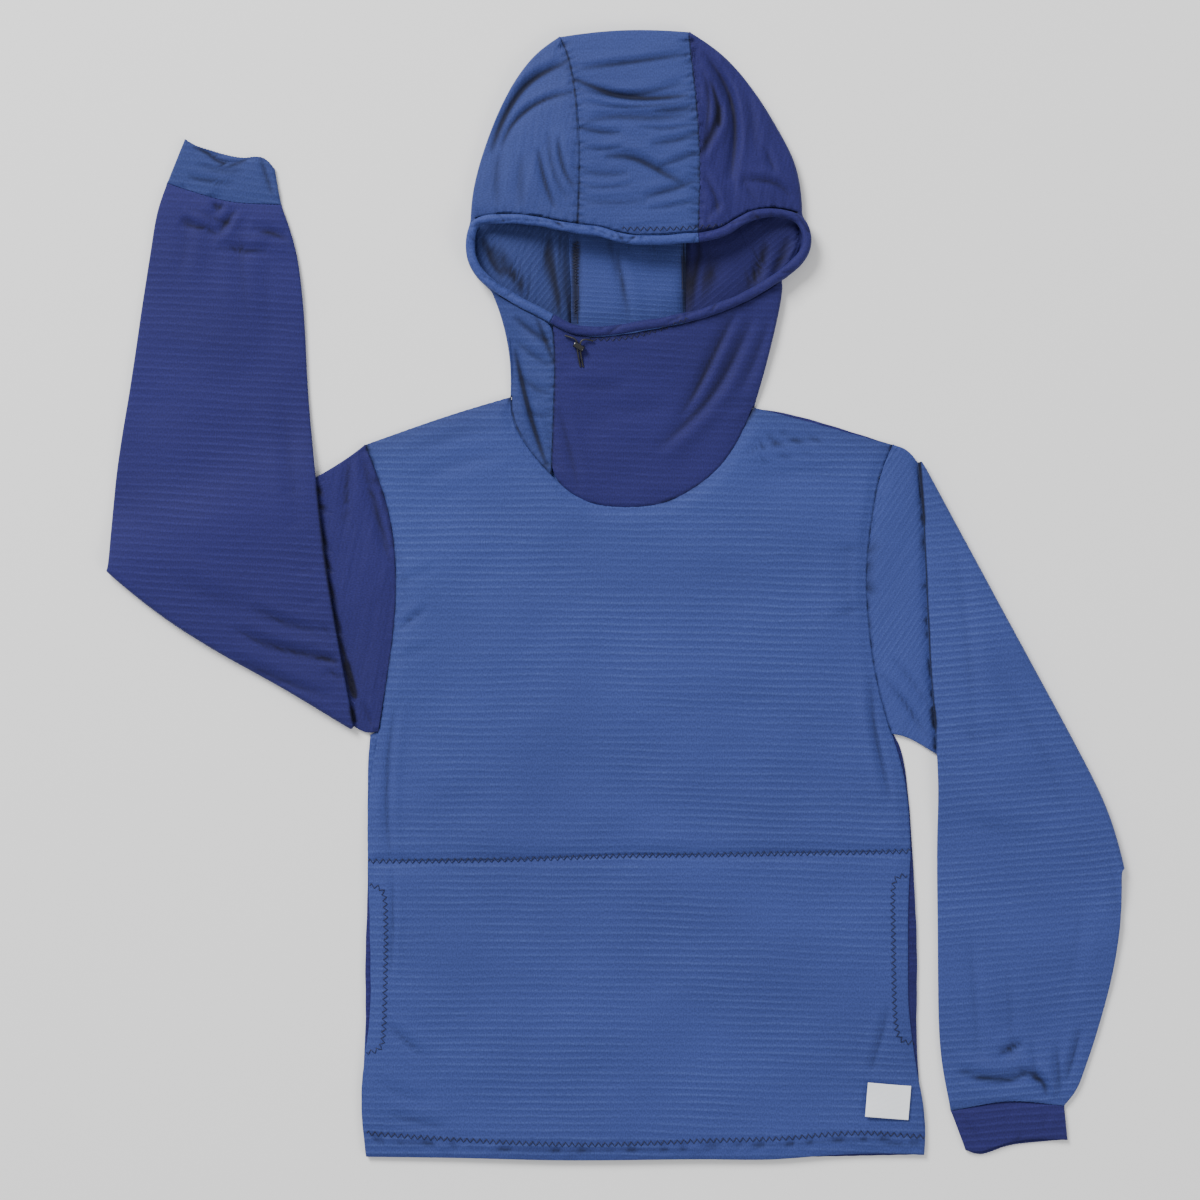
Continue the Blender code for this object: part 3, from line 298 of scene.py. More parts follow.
def new_group(name: str, inputs: dict[str, tuple[str, object]],
              outputs: Sequence[str]) -> tuple[bpy.types.NodeTree, Graph, dict, dict]:
    """Make an empty shader node group.

    Args:
        name: Name of the group.
        inputs: Socket type and default value of each input.
        outputs: Names of its outputs, which are all plain values.

    Returns:
        The group, its graph, its input sockets by name and its output sockets by name.
    """
    tree = bpy.data.node_groups.new(name, "ShaderNodeTree")
    for socket, (kind, value) in inputs.items():
        made = tree.interface.new_socket(socket, in_out="INPUT", socket_type=f"NodeSocket{kind}")
        if value is not None:
            made.default_value = value
    for socket in outputs:
        tree.interface.new_socket(socket, in_out="OUTPUT", socket_type="NodeSocketFloat")
    graph = Graph(tree)
    given = tree.nodes.new("NodeGroupInput").outputs
    wanted = tree.nodes.new("NodeGroupOutput").inputs
    return tree, graph, {s.name: s for s in given}, {s.name: s for s in wanted}


DRIFT_SCALE = (9.0, 26.0, 1.0)       # noise to a metre, along and across the ribs: how they wander
PATCH_SCALE = (9.0, 13.0, 1.0)       # where the ribs show well and where they hardly do
DASH_SCALE = (700.0, 180.0, 1.0)     # painted highlight along the ribs, broken into dashes
GRIT_SCALE = (900.0, 520.0, 1.0)     # uneven yarn
WRINKLE_SCALE = (14.0, 95.0, 1.0)    # long fine wrinkles that follow the ribs
WRINKLE_TURN = 6.0
SHADE_LAG = 0.3                      # a rib's painted shade lies this share of a rib below its ridge
WALE_HEIGHT = 0.1
GRIT_HEIGHT = 0.5


def ribbed_knit_group() -> bpy.types.NodeTree:
    """Build the group that draws ribs across a fine jersey.

    Returns:
        A group that takes a place on the cloth in metres, and gives the knit's height, the painted
        shade below each rib, the painted highlight along the ribs, the yarn's unevenness and
        the long fine wrinkles that follow the ribs.
    """
    inputs = {
        "Vector": ("Vector", None),
        "Rib Pitch": ("Float", 0.0066),
        "Wale Pitch": ("Float", 0.0023),
        "Strength": ("Float", 1.0),
    }
    outputs = ("Height", "Rib Shade", "Rib Highlight", "Grit", "Wrinkles")
    tree, graph, given, wanted = new_group("ribbed_knit", inputs, outputs)
    cloth = given["Vector"]
    place = graph.fill(graph.add("SeparateXYZ"), Vector=cloth)
    drift = graph.noise(cloth, DRIFT_SCALE)
    across = graph.plus(graph.math("DIVIDE", place["Y"], given["Rib Pitch"]), drift)
    ridge = graph.span(graph.wave(across), 0.2, 1.0)
    shade = graph.span(graph.wave(graph.plus(across, SHADE_LAG)), -0.1, 1.0)
    wale = graph.wave(graph.math("DIVIDE", place["X"], given["Wale Pitch"]))
    patches = graph.span(graph.noise(cloth, PATCH_SCALE, 4.0), 0.3, 0.64, 0.28, 1.0)
    shows = graph.times(patches, given["Strength"])
    dashes = graph.span(graph.noise(cloth, DASH_SCALE, 1.0), 0.36, 0.66, 0.45, 1.0)
    grit = graph.noise(cloth, GRIT_SCALE)
    height = graph.plus(graph.times(ridge, shows), graph.times(wale, WALE_HEIGHT))
    graph.put(wanted["Height"], graph.plus(height, graph.times(grit, GRIT_HEIGHT)))
    graph.put(wanted["Rib Shade"], graph.times(shade, shows))
    graph.put(wanted["Rib Highlight"], graph.times(graph.times(ridge, dashes), shows))
    graph.put(wanted["Grit"], grit)
    graph.put(wanted["Wrinkles"], graph.noise(cloth, WRINKLE_SCALE, 3.0, WRINKLE_TURN))
    return tree


BROAD_SCALE = (22.0, 34.0, 20.0)     # noise to a metre of the cloth's broad rumples
FINE_SCALE = (90.0, 150.0, 80.0)
FINE_TURN = 12.0
FINE_HEIGHT = 0.25
TONE_SCALE = (5.0, 9.0, 5.0)         # how fast the cloth's tone wanders


def soft_cloth_group() -> bpy.types.NodeTree:
    """Build the group of a soft cloth's finest rumples and its uneven tone.

    Returns:
        A group that takes a place and gives a height, and a tone from nought to one.
    """
    inputs = {"Vector": ("Vector", None)}
    tree, graph, given, wanted = new_group("soft_cloth", inputs, ("Height", "Tone"))
    broad = graph.noise(given["Vector"], BROAD_SCALE, 3.0)
    fine = graph.noise(given["Vector"], FINE_SCALE, 2.0, FINE_TURN)
    graph.put(wanted["Height"], graph.plus(broad, graph.times(fine, FINE_HEIGHT)))
    graph.put(wanted["Tone"], graph.noise(given["Vector"], TONE_SCALE, 3.0))
    return tree


def new_material(name: str) -> tuple[bpy.types.Material, Graph, bpy.types.Node]:
    """Make a material, and return it with its graph and its surface shader.

    Args:
        name: Its name.

    Returns:
        The material, its graph and its shader.
    """
    made = bpy.data.materials.new(name)
    made.use_nodes = True
    return made, Graph(made.node_tree), made.node_tree.nodes["Principled BSDF"]


class Groups:
    """The shader groups that several finishes share, each built once."""

    def __init__(self) -> None:
        """Build the groups."""
        self.ribbed_knit = ribbed_knit_group()
        self.soft_cloth = soft_cloth_group()


@dataclass(frozen=True)
class KnitFinish:
    """Ribbed jersey of one colour.

    The second and third colours are a painted shade below each rib and a painted highlight on its
    lightest loops, and their shares say how far they show. The fold tone is how dark the deepest
    painted shade of folds and seams makes the colour. Depths are in metres.
    """

    name: str
    slot: str
    colour: tuple[float, float, float]
    rib_shade: tuple[float, float, float]
    rib_highlight: tuple[float, float, float]
    rib_pitch: float = 0.0066
    rib_shade_share: float = 0.36
    rib_highlight_share: float = 0.52
    painted_shade_tone: float = 0.14
    rib_strength: float = 0.27
    rib_depth: float = 0.0004
    rumple_strength: float = 0.5
    rumple_depth: float = 0.002
    tones: tuple[float, float] = (0.92, 1.06)            # darkest and lightest of the broad tone
    grit_tones: tuple[float, float] = (0.82, 1.18)       # and of the uneven yarn
    roughness: float = 0.75
    sheen: float = 0.12
    sheen_roughness: float = 0.4
    sheen_tint: tuple[float, float, float] = (0.55, 0.65, 1.0)
    specular: float = 0.25

    def material(self, groups: Groups) -> bpy.types.Material:
        """Make the finish's material from the shared groups.

        Args:
            groups: The shared groups.

        Returns:
            The material.
        """
        made, graph, shader = new_material(self.name)
        plainness = graph.attribute(PLAIN)
        knit = graph.group(groups.ribbed_knit, Vector=graph.grain(), Rib_Pitch=self.rib_pitch,
                           Strength=graph.span(plainness, 0.0, 1.0, 1.0, 0.05))
        soft = graph.group(groups.soft_cloth, Vector=graph.place())
        # the painted shade mask darkens the colour, down to the fold tone where it is deepest
        tone = graph.times(graph.span(soft["Tone"], 0.25, 0.75, *self.tones),
                           graph.span(graph.attribute(PAINTED_SHADE), 0.0, 1.0, 1.0, self.painted_shade_tone))
        tone = graph.times(tone, graph.span(knit["Grit"], 0.3, 0.7, *self.grit_tones))
        # painted shade below each rib, then a painted highlight on its lightest loops
        colour = graph.mix(graph.times(knit["Rib Shade"], self.rib_shade_share), (*self.colour, 1.0),
                           (*self.rib_shade, 1.0))
        colour = graph.mix(graph.times(knit["Rib Highlight"], self.rib_highlight_share), colour, (*self.rib_highlight, 1.0))
        ribs = graph.bump(knit["Height"], self.rib_strength, self.rib_depth)
        wrinkles = graph.times(knit["Wrinkles"], graph.span(plainness, 0.0, 1.0, 0.2, 2.0))
        rumples = graph.bump(graph.plus(soft["Height"], wrinkles), self.rumple_strength,
                             self.rumple_depth, Normal=ribs)
        graph.fill(shader, Base_Color=graph.toned(colour, tone), Normal=rumples,
                   Roughness=self.roughness, Sheen_Weight=self.sheen,
                   Sheen_Roughness=self.sheen_roughness, Sheen_Tint=(*self.sheen_tint, 1.0),
                   Specular_IOR_Level=self.specular)
        return made


@dataclass(frozen=True)
class ThreadFinish:
    """Dark sewing thread, or a cord of the same make."""

    name: str
    slot: str
    colour: tuple[float, float, float]
    roughness: float = 0.6
    twist_scale: float = 900.0
    twist_turn: float = 40.0
    twist_strength: float = 0.5
    twist_depth: float = 0.0002

    def material(self, _groups: Groups) -> bpy.types.Material:
        """Make a thread's material, which needs none of the shared groups.

        Args:
            _groups: The shared groups, which it leaves alone.

        Returns:
            The material.
        """
        made, graph, shader = new_material(self.name)
        twist = graph.noise(graph.place(), (self.twist_scale,) * 3, turn=self.twist_turn)
        lift = graph.span(twist, 0.3, 0.7, 0.7, 1.35)
        graph.fill(shader, Base_Color=graph.toned((*self.colour, 1.0), lift),
                   Normal=graph.bump(twist, self.twist_strength, self.twist_depth),
                   Roughness=self.roughness)
        return made


@dataclass(frozen=True)
class LabelFinish:
    """Blank woven label tape, with its thread pitches in metres."""

    name: str = "woven_tape"
    slot: str = "woven_white"
    colour: tuple[float, float, float] = (0.90, 0.93, 0.98)
    weft_pitch: float = 0.0011
    warp_pitch: float = 0.0009
    weave_strength: float = 0.4
    weave_depth: float = 0.0002

    def material(self, groups: Groups) -> bpy.types.Material:
        """Make a fine satin weave with slightly uneven tone and painted shade along its rows, from the
        shared groups.

        Args:
            groups: The shared groups.

        Returns:
            The material.
        """
        made, graph, shader = new_material(self.name)
        weave = graph.group(groups.ribbed_knit, Vector=graph.grain(), Rib_Pitch=self.weft_pitch,
                            Wale_Pitch=self.warp_pitch)
        soft = graph.group(groups.soft_cloth, Vector=graph.place())
        # painted shade along the weave's rows darkens the tape a little
        tone = graph.times(graph.span(soft["Tone"], 0.2, 0.8, 0.94, 1.03),
                           graph.span(weave["Rib Shade"], 0.0, 1.0, 1.0, 0.86))
        graph.fill(shader, Base_Color=graph.toned((*self.colour, 1.0), tone),
                   Normal=graph.bump(weave["Height"], self.weave_strength, self.weave_depth),
                   Roughness=0.6, Sheen_Weight=0.2)
        return made


@dataclass(frozen=True)
class PlasticFinish:
    """Moulded black plastic."""

    name: str = "moulded_plastic"
    slot: str = "plastic_black"
    colour: tuple[float, float, float] = (0.008, 0.008, 0.01)
    scuff_scale: float = 1400.0

    def material(self, _groups: Groups) -> bpy.types.Material:
        """Make a gloss plastic with fine scuffs, which needs none of the shared groups.

        Args:
            _groups: The shared groups, which it leaves alone.

        Returns:
            The material.
        """
        made, graph, shader = new_material(self.name)
        scuffs = graph.noise(graph.place(), (self.scuff_scale,) * 3, 3.0)
        graph.fill(shader, Base_Color=(*self.colour, 1.0),
                   Roughness=graph.span(scuffs, 0.35, 0.75, 0.18, 0.4), Coat_Weight=0.4)
        return made


Finish = KnitFinish | ThreadFinish | LabelFinish | PlasticFinish


# each jersey's colour, then the painted shade below its ribs and the painted highlight on them
LIGHT_BLUE = KnitFinish("light_blue_jersey", "knit_light_blue", (0.031, 0.050, 0.199),
                        (0.0185, 0.030, 0.135), (0.058, 0.090, 0.280))
INDIGO = KnitFinish("indigo_jersey", "knit_indigo", (0.0142, 0.0140, 0.103),
                    (0.0088, 0.0087, 0.071), (0.027, 0.029, 0.152))
NAVY_THREAD = ThreadFinish("navy_thread", "knit_indigo", (0.005, 0.007, 0.036))
BLACK_CORD = ThreadFinish("braided_cord", "cord_black", (0.010, 0.010, 0.013), 0.45)
LABEL_TAPE = LabelFinish()
BLACK_PLASTIC = PlasticFinish()


class Wardrobe:
    """Materials by finish, each made the first time that a piece asks for it."""

    def __init__(self) -> None:
        """Build the shared groups."""
        self.groups = Groups()
        self.made: dict[str, bpy.types.Material] = {}

    def material(self, finish: Finish) -> bpy.types.Material:
        """Return the material of a finish.

        Args:
            finish: The finish.

        Returns:
            Its material.
        """
        if finish.name not in self.made:
            self.made[finish.name] = finish.material(self.groups)
        return self.made[finish.name]


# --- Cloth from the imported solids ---


PointRule = Callable[[np.ndarray], np.ndarray]

CUT_ANGLE = math.radians(58)         # an edge that turns more is a cut edge of the cloth
FLAT_ANGLE = math.radians(40)        # triangles join to a four-sided face up to these angles
SQUARE_ANGLE = math.radians(50)
WELD = 2e-6                          # metres
SKY = 100.0                          # rays fall from this height
DOWN = Vector((0.0, 0.0, -1.0))

CREASE_REACH = 5.0                   # this and the next three are in widths of the crease
SHOULDER_AWAY = 1.7
SHOULDER_WIDTH = 1.2
SHADE_WIDTH = 0.55
CREASE_FADE = 0.55                   # power of the fade along a crease, blunter when smaller
SHADE_DEPTH = 3.8                    # a trough of this depth would take the full painted shade
SHADE_LIMIT = 0.85

SEAM_GROOVE = 2.0                    # half width of the sunken line along a seam
WRINKLE_SLANT = 0.16                 # how far the cross wrinkles lean, and how soon that changes
WRINKLE_SLANT_RUN = 31.0
WRINKLE_SHADE = 0.4
WRINKLES_END = 3.0                   # these three are in reaches of the seam
WRINKLE_AWAY = 0.3
WRINKLE_LENGTH = 0.7
SIDE_WRINKLES = ((0.7, 0.62, 2.1), (0.5, 1.43, 0.0))    # height, pace and start beside the main ones

WAVES = (                            # turns along x and along y, start and height of each wave
    (0.7, 0.4, 0.5, 1.0), (-0.33, 0.9, 1.7, 1.0), (1.15, -0.5, 2.6, 0.7), (0.25, 0.31, 0.0, 1.1),
)
BENT_WAVE = (0.5, 1.6, 0.4, 0.6)     # the same, with a bend along x in place of the start
WAVES_HEIGHT = 2.6

SEWN_REACH = 7.0                     # cloth is held down this far from where it is sewn
SEWN_CREASE = 0.3                    # and its creases keep this share there
BOW_LENGTH = 170.0                   # ribs bow over this length
UPWARD_GAIN = 4.0                    # painted shade shows in full from a quarter of a normal upwards
KNOT_SHARE = 0.75                    # how much an inner knot of a line keeps of its own place,
SIDE_SHARE = 0.125                   # and how much it takes from each neighbour


def bell(away: np.ndarray) -> np.ndarray:
    """Return a bell curve of a distance, one at nought."""
    return np.exp(-(away**2))


def read_points(mesh: bpy.types.Mesh) -> np.ndarray:
    """Return a mesh's points in millimetres.

    Args:
        mesh: The mesh.

    Returns:
        A row of x, y and z for each point.
    """
    points = np.empty(len(mesh.vertices) * 3)
    mesh.vertices.foreach_get("co", points)
    return points.reshape(-1, 3) / MM


def write_points(mesh: bpy.types.Mesh, points: np.ndarray) -> None:
    """Set a mesh's points, given in millimetres."""
    mesh.vertices.foreach_set("co", (points * MM).ravel())
    mesh.update()


def write_masks(mesh: bpy.types.Mesh, shade: np.ndarray, plain: np.ndarray) -> None:
    """Store at each point how much painted shade it takes, and how far the ribs are pulled out there.

    Args:
        mesh: The mesh.
        shade: How much painted shade each point takes.
        plain: How far the ribs are pulled out at each point.
    """
    for name, values in ((PAINTED_SHADE, np.clip(shade, 0.0, 1.0)), (PLAIN, plain)):
        layer = mesh.attributes.new(name, "FLOAT", "POINT")
        layer.data.foreach_set("value", values.astype(np.float32))


def link(name: str, data: bpy.types.ID) -> bpy.types.Object:
    """Put a new object in the scene.

    Args:
        name: Name of the object.
        data: Its mesh, curve, lamp or camera.

    Returns:
        The object.
    """
    made = bpy.data.objects.new(name, data)
    bpy.context.scene.collection.objects.link(made)
    return made


def welded(node: str) -> bmesh.types.BMesh:
    """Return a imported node's shape with its points joined.

    Args:
        node: The CAD node.

    Returns:
        The shape, which the caller frees.
    """
    shape = bmesh.new()
    shape.from_mesh(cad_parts[node].data)
    bmesh.ops.remove_doubles(shape, verts=shape.verts, dist=WELD)
    return shape


def is_cut(edge: bmesh.types.BMEdge) -> bool:
    """Say whether an edge is a cut edge of the cloth."""
    return len(edge.link_faces) == 2 and edge.calc_face_angle() > CUT_ANGLE


def highest(tree: BVHTree, x: float, y: float) -> float:
    """Return the height of a surface over a place, in millimetres, or nought where there is none."""
    hit = tree.ray_cast(Vector((x, y, SKY)) * MM, DOWN)[0]
    return 0.0 if hit is None else hit.z / MM


def finer_copy(node: str, name: str, levels: int) -> bpy.types.Object:
    """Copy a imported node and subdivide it, with the wall's cut edges kept sharp.

    Args:
        node: The CAD node to copy.
        name: Name of the new piece.
        levels: How many times it is subdivided.

    Returns:
        The new piece, whose mesh is the subdivided one.
    """
    shape = welded(node)
    bmesh.ops.join_triangles(shape, faces=shape.faces, angle_face_threshold=FLAT_ANGLE,
                             angle_shape_threshold=SQUARE_ANGLE)
    sharpness = shape.edges.layers.float.new("crease_edge")
    for edge in filter(is_cut, shape.edges):
        edge[sharpness] = 1.0
    mesh = bpy.data.meshes.new(name)
    shape.to_mesh(mesh)
    shape.free()
    piece = link(name, mesh)
    rounding = piece.modifiers.new("finer", "SUBSURF")
    rounding.levels = levels
    rounding.render_levels = levels
    depsgraph = bpy.context.evaluated_depsgraph_get()
    finer = bpy.data.meshes.new_from_object(piece.evaluated_get(depsgraph))
    finer.name = name
    piece.modifiers.clear()
    piece.data = finer
    bpy.data.meshes.remove(mesh)
    finer.shade_smooth()
    return piece


def top_share(piece: bpy.types.Object, wall: float = 1.9, passes: int = 3) -> np.ndarray:
    """Find which points belong to the leaf that is seen from above.

    Args:
        piece: The piece.
        wall: Points within this depth of the highest surface count as its leaf.
        passes: How often the answer is evened out along the edges.

    Returns:
        One share for each point, one on the upper leaf and nought below it.
    """
    mesh = piece.data
    points = read_points(mesh)
    tree = BVHTree.FromObject(piece, bpy.context.evaluated_depsgraph_get())
    share = np.array([float(highest(tree, x, y) - z < wall) for x, y, z in points])
    edges = np.empty(len(mesh.edges) * 2, dtype=np.int64)
    mesh.edges.foreach_get("vertices", edges)
    ends = edges.reshape(-1, 2)
    count = np.bincount(edges, minlength=len(points))
    for _ in range(passes):
        total = np.bincount(ends[:, 0], share[ends[:, 1]], len(points))
        total += np.bincount(ends[:, 1], share[ends[:, 0]], len(points))
        share = total / np.maximum(count, 1)
    return share


def smooth_line(line: Sequence[Sequence[float]], spacing: float = 1.5, rounds: int = 3) -> np.ndarray:
    """Return evenly spaced points of a smooth line near the given ones, through its two ends.

    Args:
        line: The given points.
        spacing: The distance between the points that it returns.
        rounds: How often the line is smoothed.

    Returns:
        The points, one to a row.
    """
    knots = np.array(line, dtype=float)
    for _ in range(rounds if len(knots) > 2 else 0):
        inner = knots[1:-1] * KNOT_SHARE + (knots[:-2] + knots[2:]) * SIDE_SHARE
        woven = np.empty((2 * len(knots) - 1, knots.shape[1]))
        woven[0::2] = np.concatenate([knots[:1], inner, knots[-1:]])
        woven[1::2] = (knots[:-1] + knots[1:]) / 2
        knots = woven
    steps = np.linalg.norm(np.diff(knots, axis=0), axis=1)
    travelled = np.concatenate([[0.0], np.cumsum(steps)])
    wanted = np.linspace(0.0, travelled[-1], max(2, int(travelled[-1] / spacing) + 1))
    return np.stack([np.interp(wanted, travelled, column) for column in knots.T], axis=1)


def along_and_aside(points: np.ndarray, line: np.ndarray) -> tuple[np.ndarray, np.ndarray]:
    """Measure points against a line in plan.

    Args:
        points: The points, of which x and y are used.
        line: The line's points.

    Returns:
        How far along the line each point lies, from nought to one, and its distance to the left
        of the line, below nought on the right.
    """
    tree = KDTree(len(line))
    for index, (x, y) in enumerate(line[:, :2]):
        tree.insert((x, y, 0.0), index)
    tree.balance()
    nearest = np.array([tree.find((x, y, 0.0))[1] for x, y in points[:, :2]])
    run = np.gradient(line[:, :2], axis=0)
    run /= np.linalg.norm(run, axis=1)[:, None]
    away = points[:, :2] - line[nearest, :2]
    here = run[nearest]
    left = here[:, 0] * away[:, 1] - here[:, 1] * away[:, 0]
    distance = np.linalg.norm(away, axis=1)
    return nearest / (len(line) - 1), np.where(left >= 0, distance, -distance)


def near_line(points: np.ndarray, line: np.ndarray, reach: float) -> np.ndarray:
    """Mark the points that lie in a line's box, widened by reach."""
    low, high = line.min(axis=0) - reach, line.max(axis=0) + reach
    return np.all((points[:, :2] > low) & (points[:, :2] < high), axis=1)


def on_leaf(leaf: Leaf, inside: np.ndarray) -> np.ndarray | float:
    """Return how far each point belongs to a leaf, given how far it lies inside.

    Args:
        leaf: The leaf.
        inside: How far each point lies inside.

    Returns:
        A share for each point, or one for all of them.
    """
    if leaf is Leaf.ANY:
        return 1.0
    return inside if leaf is Leaf.INSIDE else 1.0 - inside


def crease_relief(points: np.ndarray, creases: Sequence[Crease],
                  inside: np.ndarray) -> tuple[np.ndarray, np.ndarray]:
    """Work out how creases lift each point, and the painted shade that their troughs lay on it.

    Args:
        points: The points.
        creases: The creases.
        inside: One where a point is on the inside leaf, and nought elsewhere.

    Returns:
        The lift and the painted shade of each point.
    """
    rise, shade = np.zeros(len(points)), np.zeros(len(points))
    for crease in creases:
        line = smooth_line(crease.line)
        near = near_line(points, line, CREASE_REACH * crease.width)
        if not near.any():
            continue
        along, aside = along_and_aside(points[near], line)
        aside = (-aside if crease.shoulder < 0 else aside) / crease.width
        fade = np.clip(np.sin(np.pi * along), 0.0, 1.0) ** CREASE_FADE
        fade *= on_leaf(crease.leaf, inside[near])
        shoulder = bell((aside - SHOULDER_AWAY) / SHOULDER_WIDTH)
        rise[near] += (crease.height * bell(aside) + abs(crease.shoulder) * shoulder) * fade
        # painted shade along the bottom of a trough
        depth = min(SHADE_LIMIT, max(0.0, -crease.height / SHADE_DEPTH))
        shade[near] += bell(aside / SHADE_WIDTH) * fade * depth
    return rise, shade


def seam_relief(points: np.ndarray, seams: Sequence[Seam],
                inside: np.ndarray) -> tuple[np.ndarray, np.ndarray]:
    """Work out how seams and the wrinkles beside them lift each point, and the painted shade they lay
    on it.

    Args:
        points: The points.
        seams: The seams.
        inside: One where a point is on the inside leaf, and nought elsewhere.

    Returns:
        The lift and the painted shade of each point.
    """
    rise, shade = np.zeros(len(points)), np.zeros(len(points))
    for number, seam in enumerate(seams):
        line = smooth_line(seam.line)
        near = near_line(points, line, WRINKLES_END * seam.reach)
        if not near.any():
            continue
        along, aside = along_and_aside(points[near], line)
        run = along * np.linalg.norm(np.diff(line, axis=0), axis=1).sum()
        turn = math.tau * run / seam.pitch + WRINKLE_SLANT * aside * np.sin(run / WRINKLE_SLANT_RUN)
        wave = np.sin(turn + number)
        for height, pace, start in SIDE_WRINKLES:
            wave += height * np.sin(pace * turn + start)
        here = on_leaf(seam.leaf, inside[near])
        beside = bell((np.abs(aside) / seam.reach - WRINKLE_AWAY) / WRINKLE_LENGTH) * here
        rise[near] += seam.pucker * wave * beside - seam.sink * bell(aside / SEAM_GROOVE)
        # painted shade in the wrinkles' troughs and along the line itself
        shade[near] += np.clip(-wave, 0.0, 1.0) * beside * min(1.0, WRINKLE_SHADE * seam.pucker)
        shade[near] += seam.tone * bell(aside / seam.half_width) * here
    return rise, shade


def undulation(points: np.ndarray, wavelength: float) -> np.ndarray:
    """Return the height, from about minus one to one, of cloth that doesn't lie quite flat.

    Args:
        points: The points.
        wavelength: The length of its longer waves.

    Returns:
        The height at each point.
    """
    x, y = points[:, 0] / wavelength * math.tau, points[:, 1] / wavelength * math.tau
    waves = sum(height * np.sin(by_x * x + by_y * y + start) for by_x, by_y, start, height in WAVES)
    by_x, by_y, bend, height = BENT_WAVE
    return (waves + height * np.sin(by_x * x + by_y * y + np.sin(bend * x))) / WAVES_HEIGHT


def swell_rise(points: np.ndarray, swells: Sequence[Swell]) -> np.ndarray:
    """Return how far broad swells lift each point.

    Args:
        points: The points.
        swells: The swells.

    Returns:
        The rise of each point.
    """
    rise = np.zeros(len(points))
    for swell in swells:
        x = (points[:, 0] - swell.x) / swell.reach_x
        y = (points[:, 1] - swell.y) / swell.reach_y
        rise += swell.height * bell(x) * bell(y)
    return rise


def cut_edge_distance(piece: bpy.types.Object, node: str, spacing: float = 2.0) -> np.ndarray:
    """Return each point's distance from the cut edges of the node that the piece was made from.

    Args:
        piece: The piece.
        node: The CAD node that it was made from.
        spacing: The distance between the marks along an edge.

    Returns:
        The distance of each point.
    """
    shape = welded(node)
    marks = []
    for edge in filter(is_cut, shape.edges):
        first, last = (vert.co / MM for vert in edge.verts)
        for share in np.linspace(0.0, 1.0, max(2, int((last - first).length / spacing))):
            marks.append(first.lerp(last, float(share)))
    shape.free()
    tree = KDTree(len(marks))
    for index, mark in enumerate(marks):
        tree.insert(mark, index)
    tree.balance()
    return np.array([tree.find(point)[2] for point in read_points(piece.data)])


def dress(piece: bpy.types.Object, finish: Finish, wardrobe: Wardrobe, *nodes: str) -> None:
    """Give a piece its finish and its body, and hide the CAD nodes that it stands for.

    Args:
        piece: The piece.
        finish: Its finish.
        wardrobe: The materials.
        nodes: The CAD nodes that it replaces, if any.
    """
    piece.data.materials.clear()
    piece.data.materials.append(wardrobe.material(finish))
    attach(piece, BODY)
    if nodes:
        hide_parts(*nodes)
    log.info("%s in %s", piece.name, finish.name)


def straight_grain(angle: float = 0.0, bow: float = 0.0) -> PointRule:
    """Return a rule that gives the whole piece one rib direction, in degrees.

    Args:
        angle: The direction of the ribs.
        bow: How far they bow, in millimetres.

    Returns:
        The rule.
    """
    def rule(centres: np.ndarray) -> np.ndarray:
        """Give each face its direction, bow and fineness."""
        return np.tile((math.radians(angle), bow, 1.0), (len(centres), 1))
    return rule


def two_grains(second: np.ndarray, angles: tuple[float, float], fineness: float) -> np.ndarray:
    """Give each face the first rib direction, or the second and finer one where second is set."""
    angle = np.radians(np.where(second, angles[1], angles[0]))
    return np.stack([angle, np.zeros(len(angle)), np.where(second, fineness, 1.0)], axis=1)


def lay_grain(piece: bpy.types.Object, grains: PointRule) -> None:
    """Give a piece its UV map, along and across the ribs.

    Args:
        piece: The piece.
        grains: Gives each face's rib direction, bow and fineness from its centre.
    """
    mesh = piece.data
    points = read_points(mesh)
    centres = np.empty(len(mesh.polygons) * 3)
    mesh.polygons.foreach_get("center", centres)
    corners = np.empty(len(mesh.polygons), dtype=np.int64)
    mesh.polygons.foreach_get("loop_total", corners)
    corner_face = np.repeat(np.arange(len(mesh.polygons)), corners)
    corner_vert = np.empty(len(mesh.loops), dtype=np.int64)
    mesh.loops.foreach_get("vertex_index", corner_vert)
    angle, bow, fineness = grains(centres.reshape(-1, 3) / MM)[corner_face].T
    x, y = points[corner_vert, 0], points[corner_vert, 1]
    along = x * np.cos(angle) + y * np.sin(angle)
    across = fineness * (y * np.cos(angle) - x * np.sin(angle) - bow * np.cos(x / BOW_LENGTH))
    uv = mesh.uv_layers.get(GRAIN) or mesh.uv_layers.new(name=GRAIN)
    uv.data.foreach_set("uv", (np.stack([along, across], axis=1) * MM).ravel())


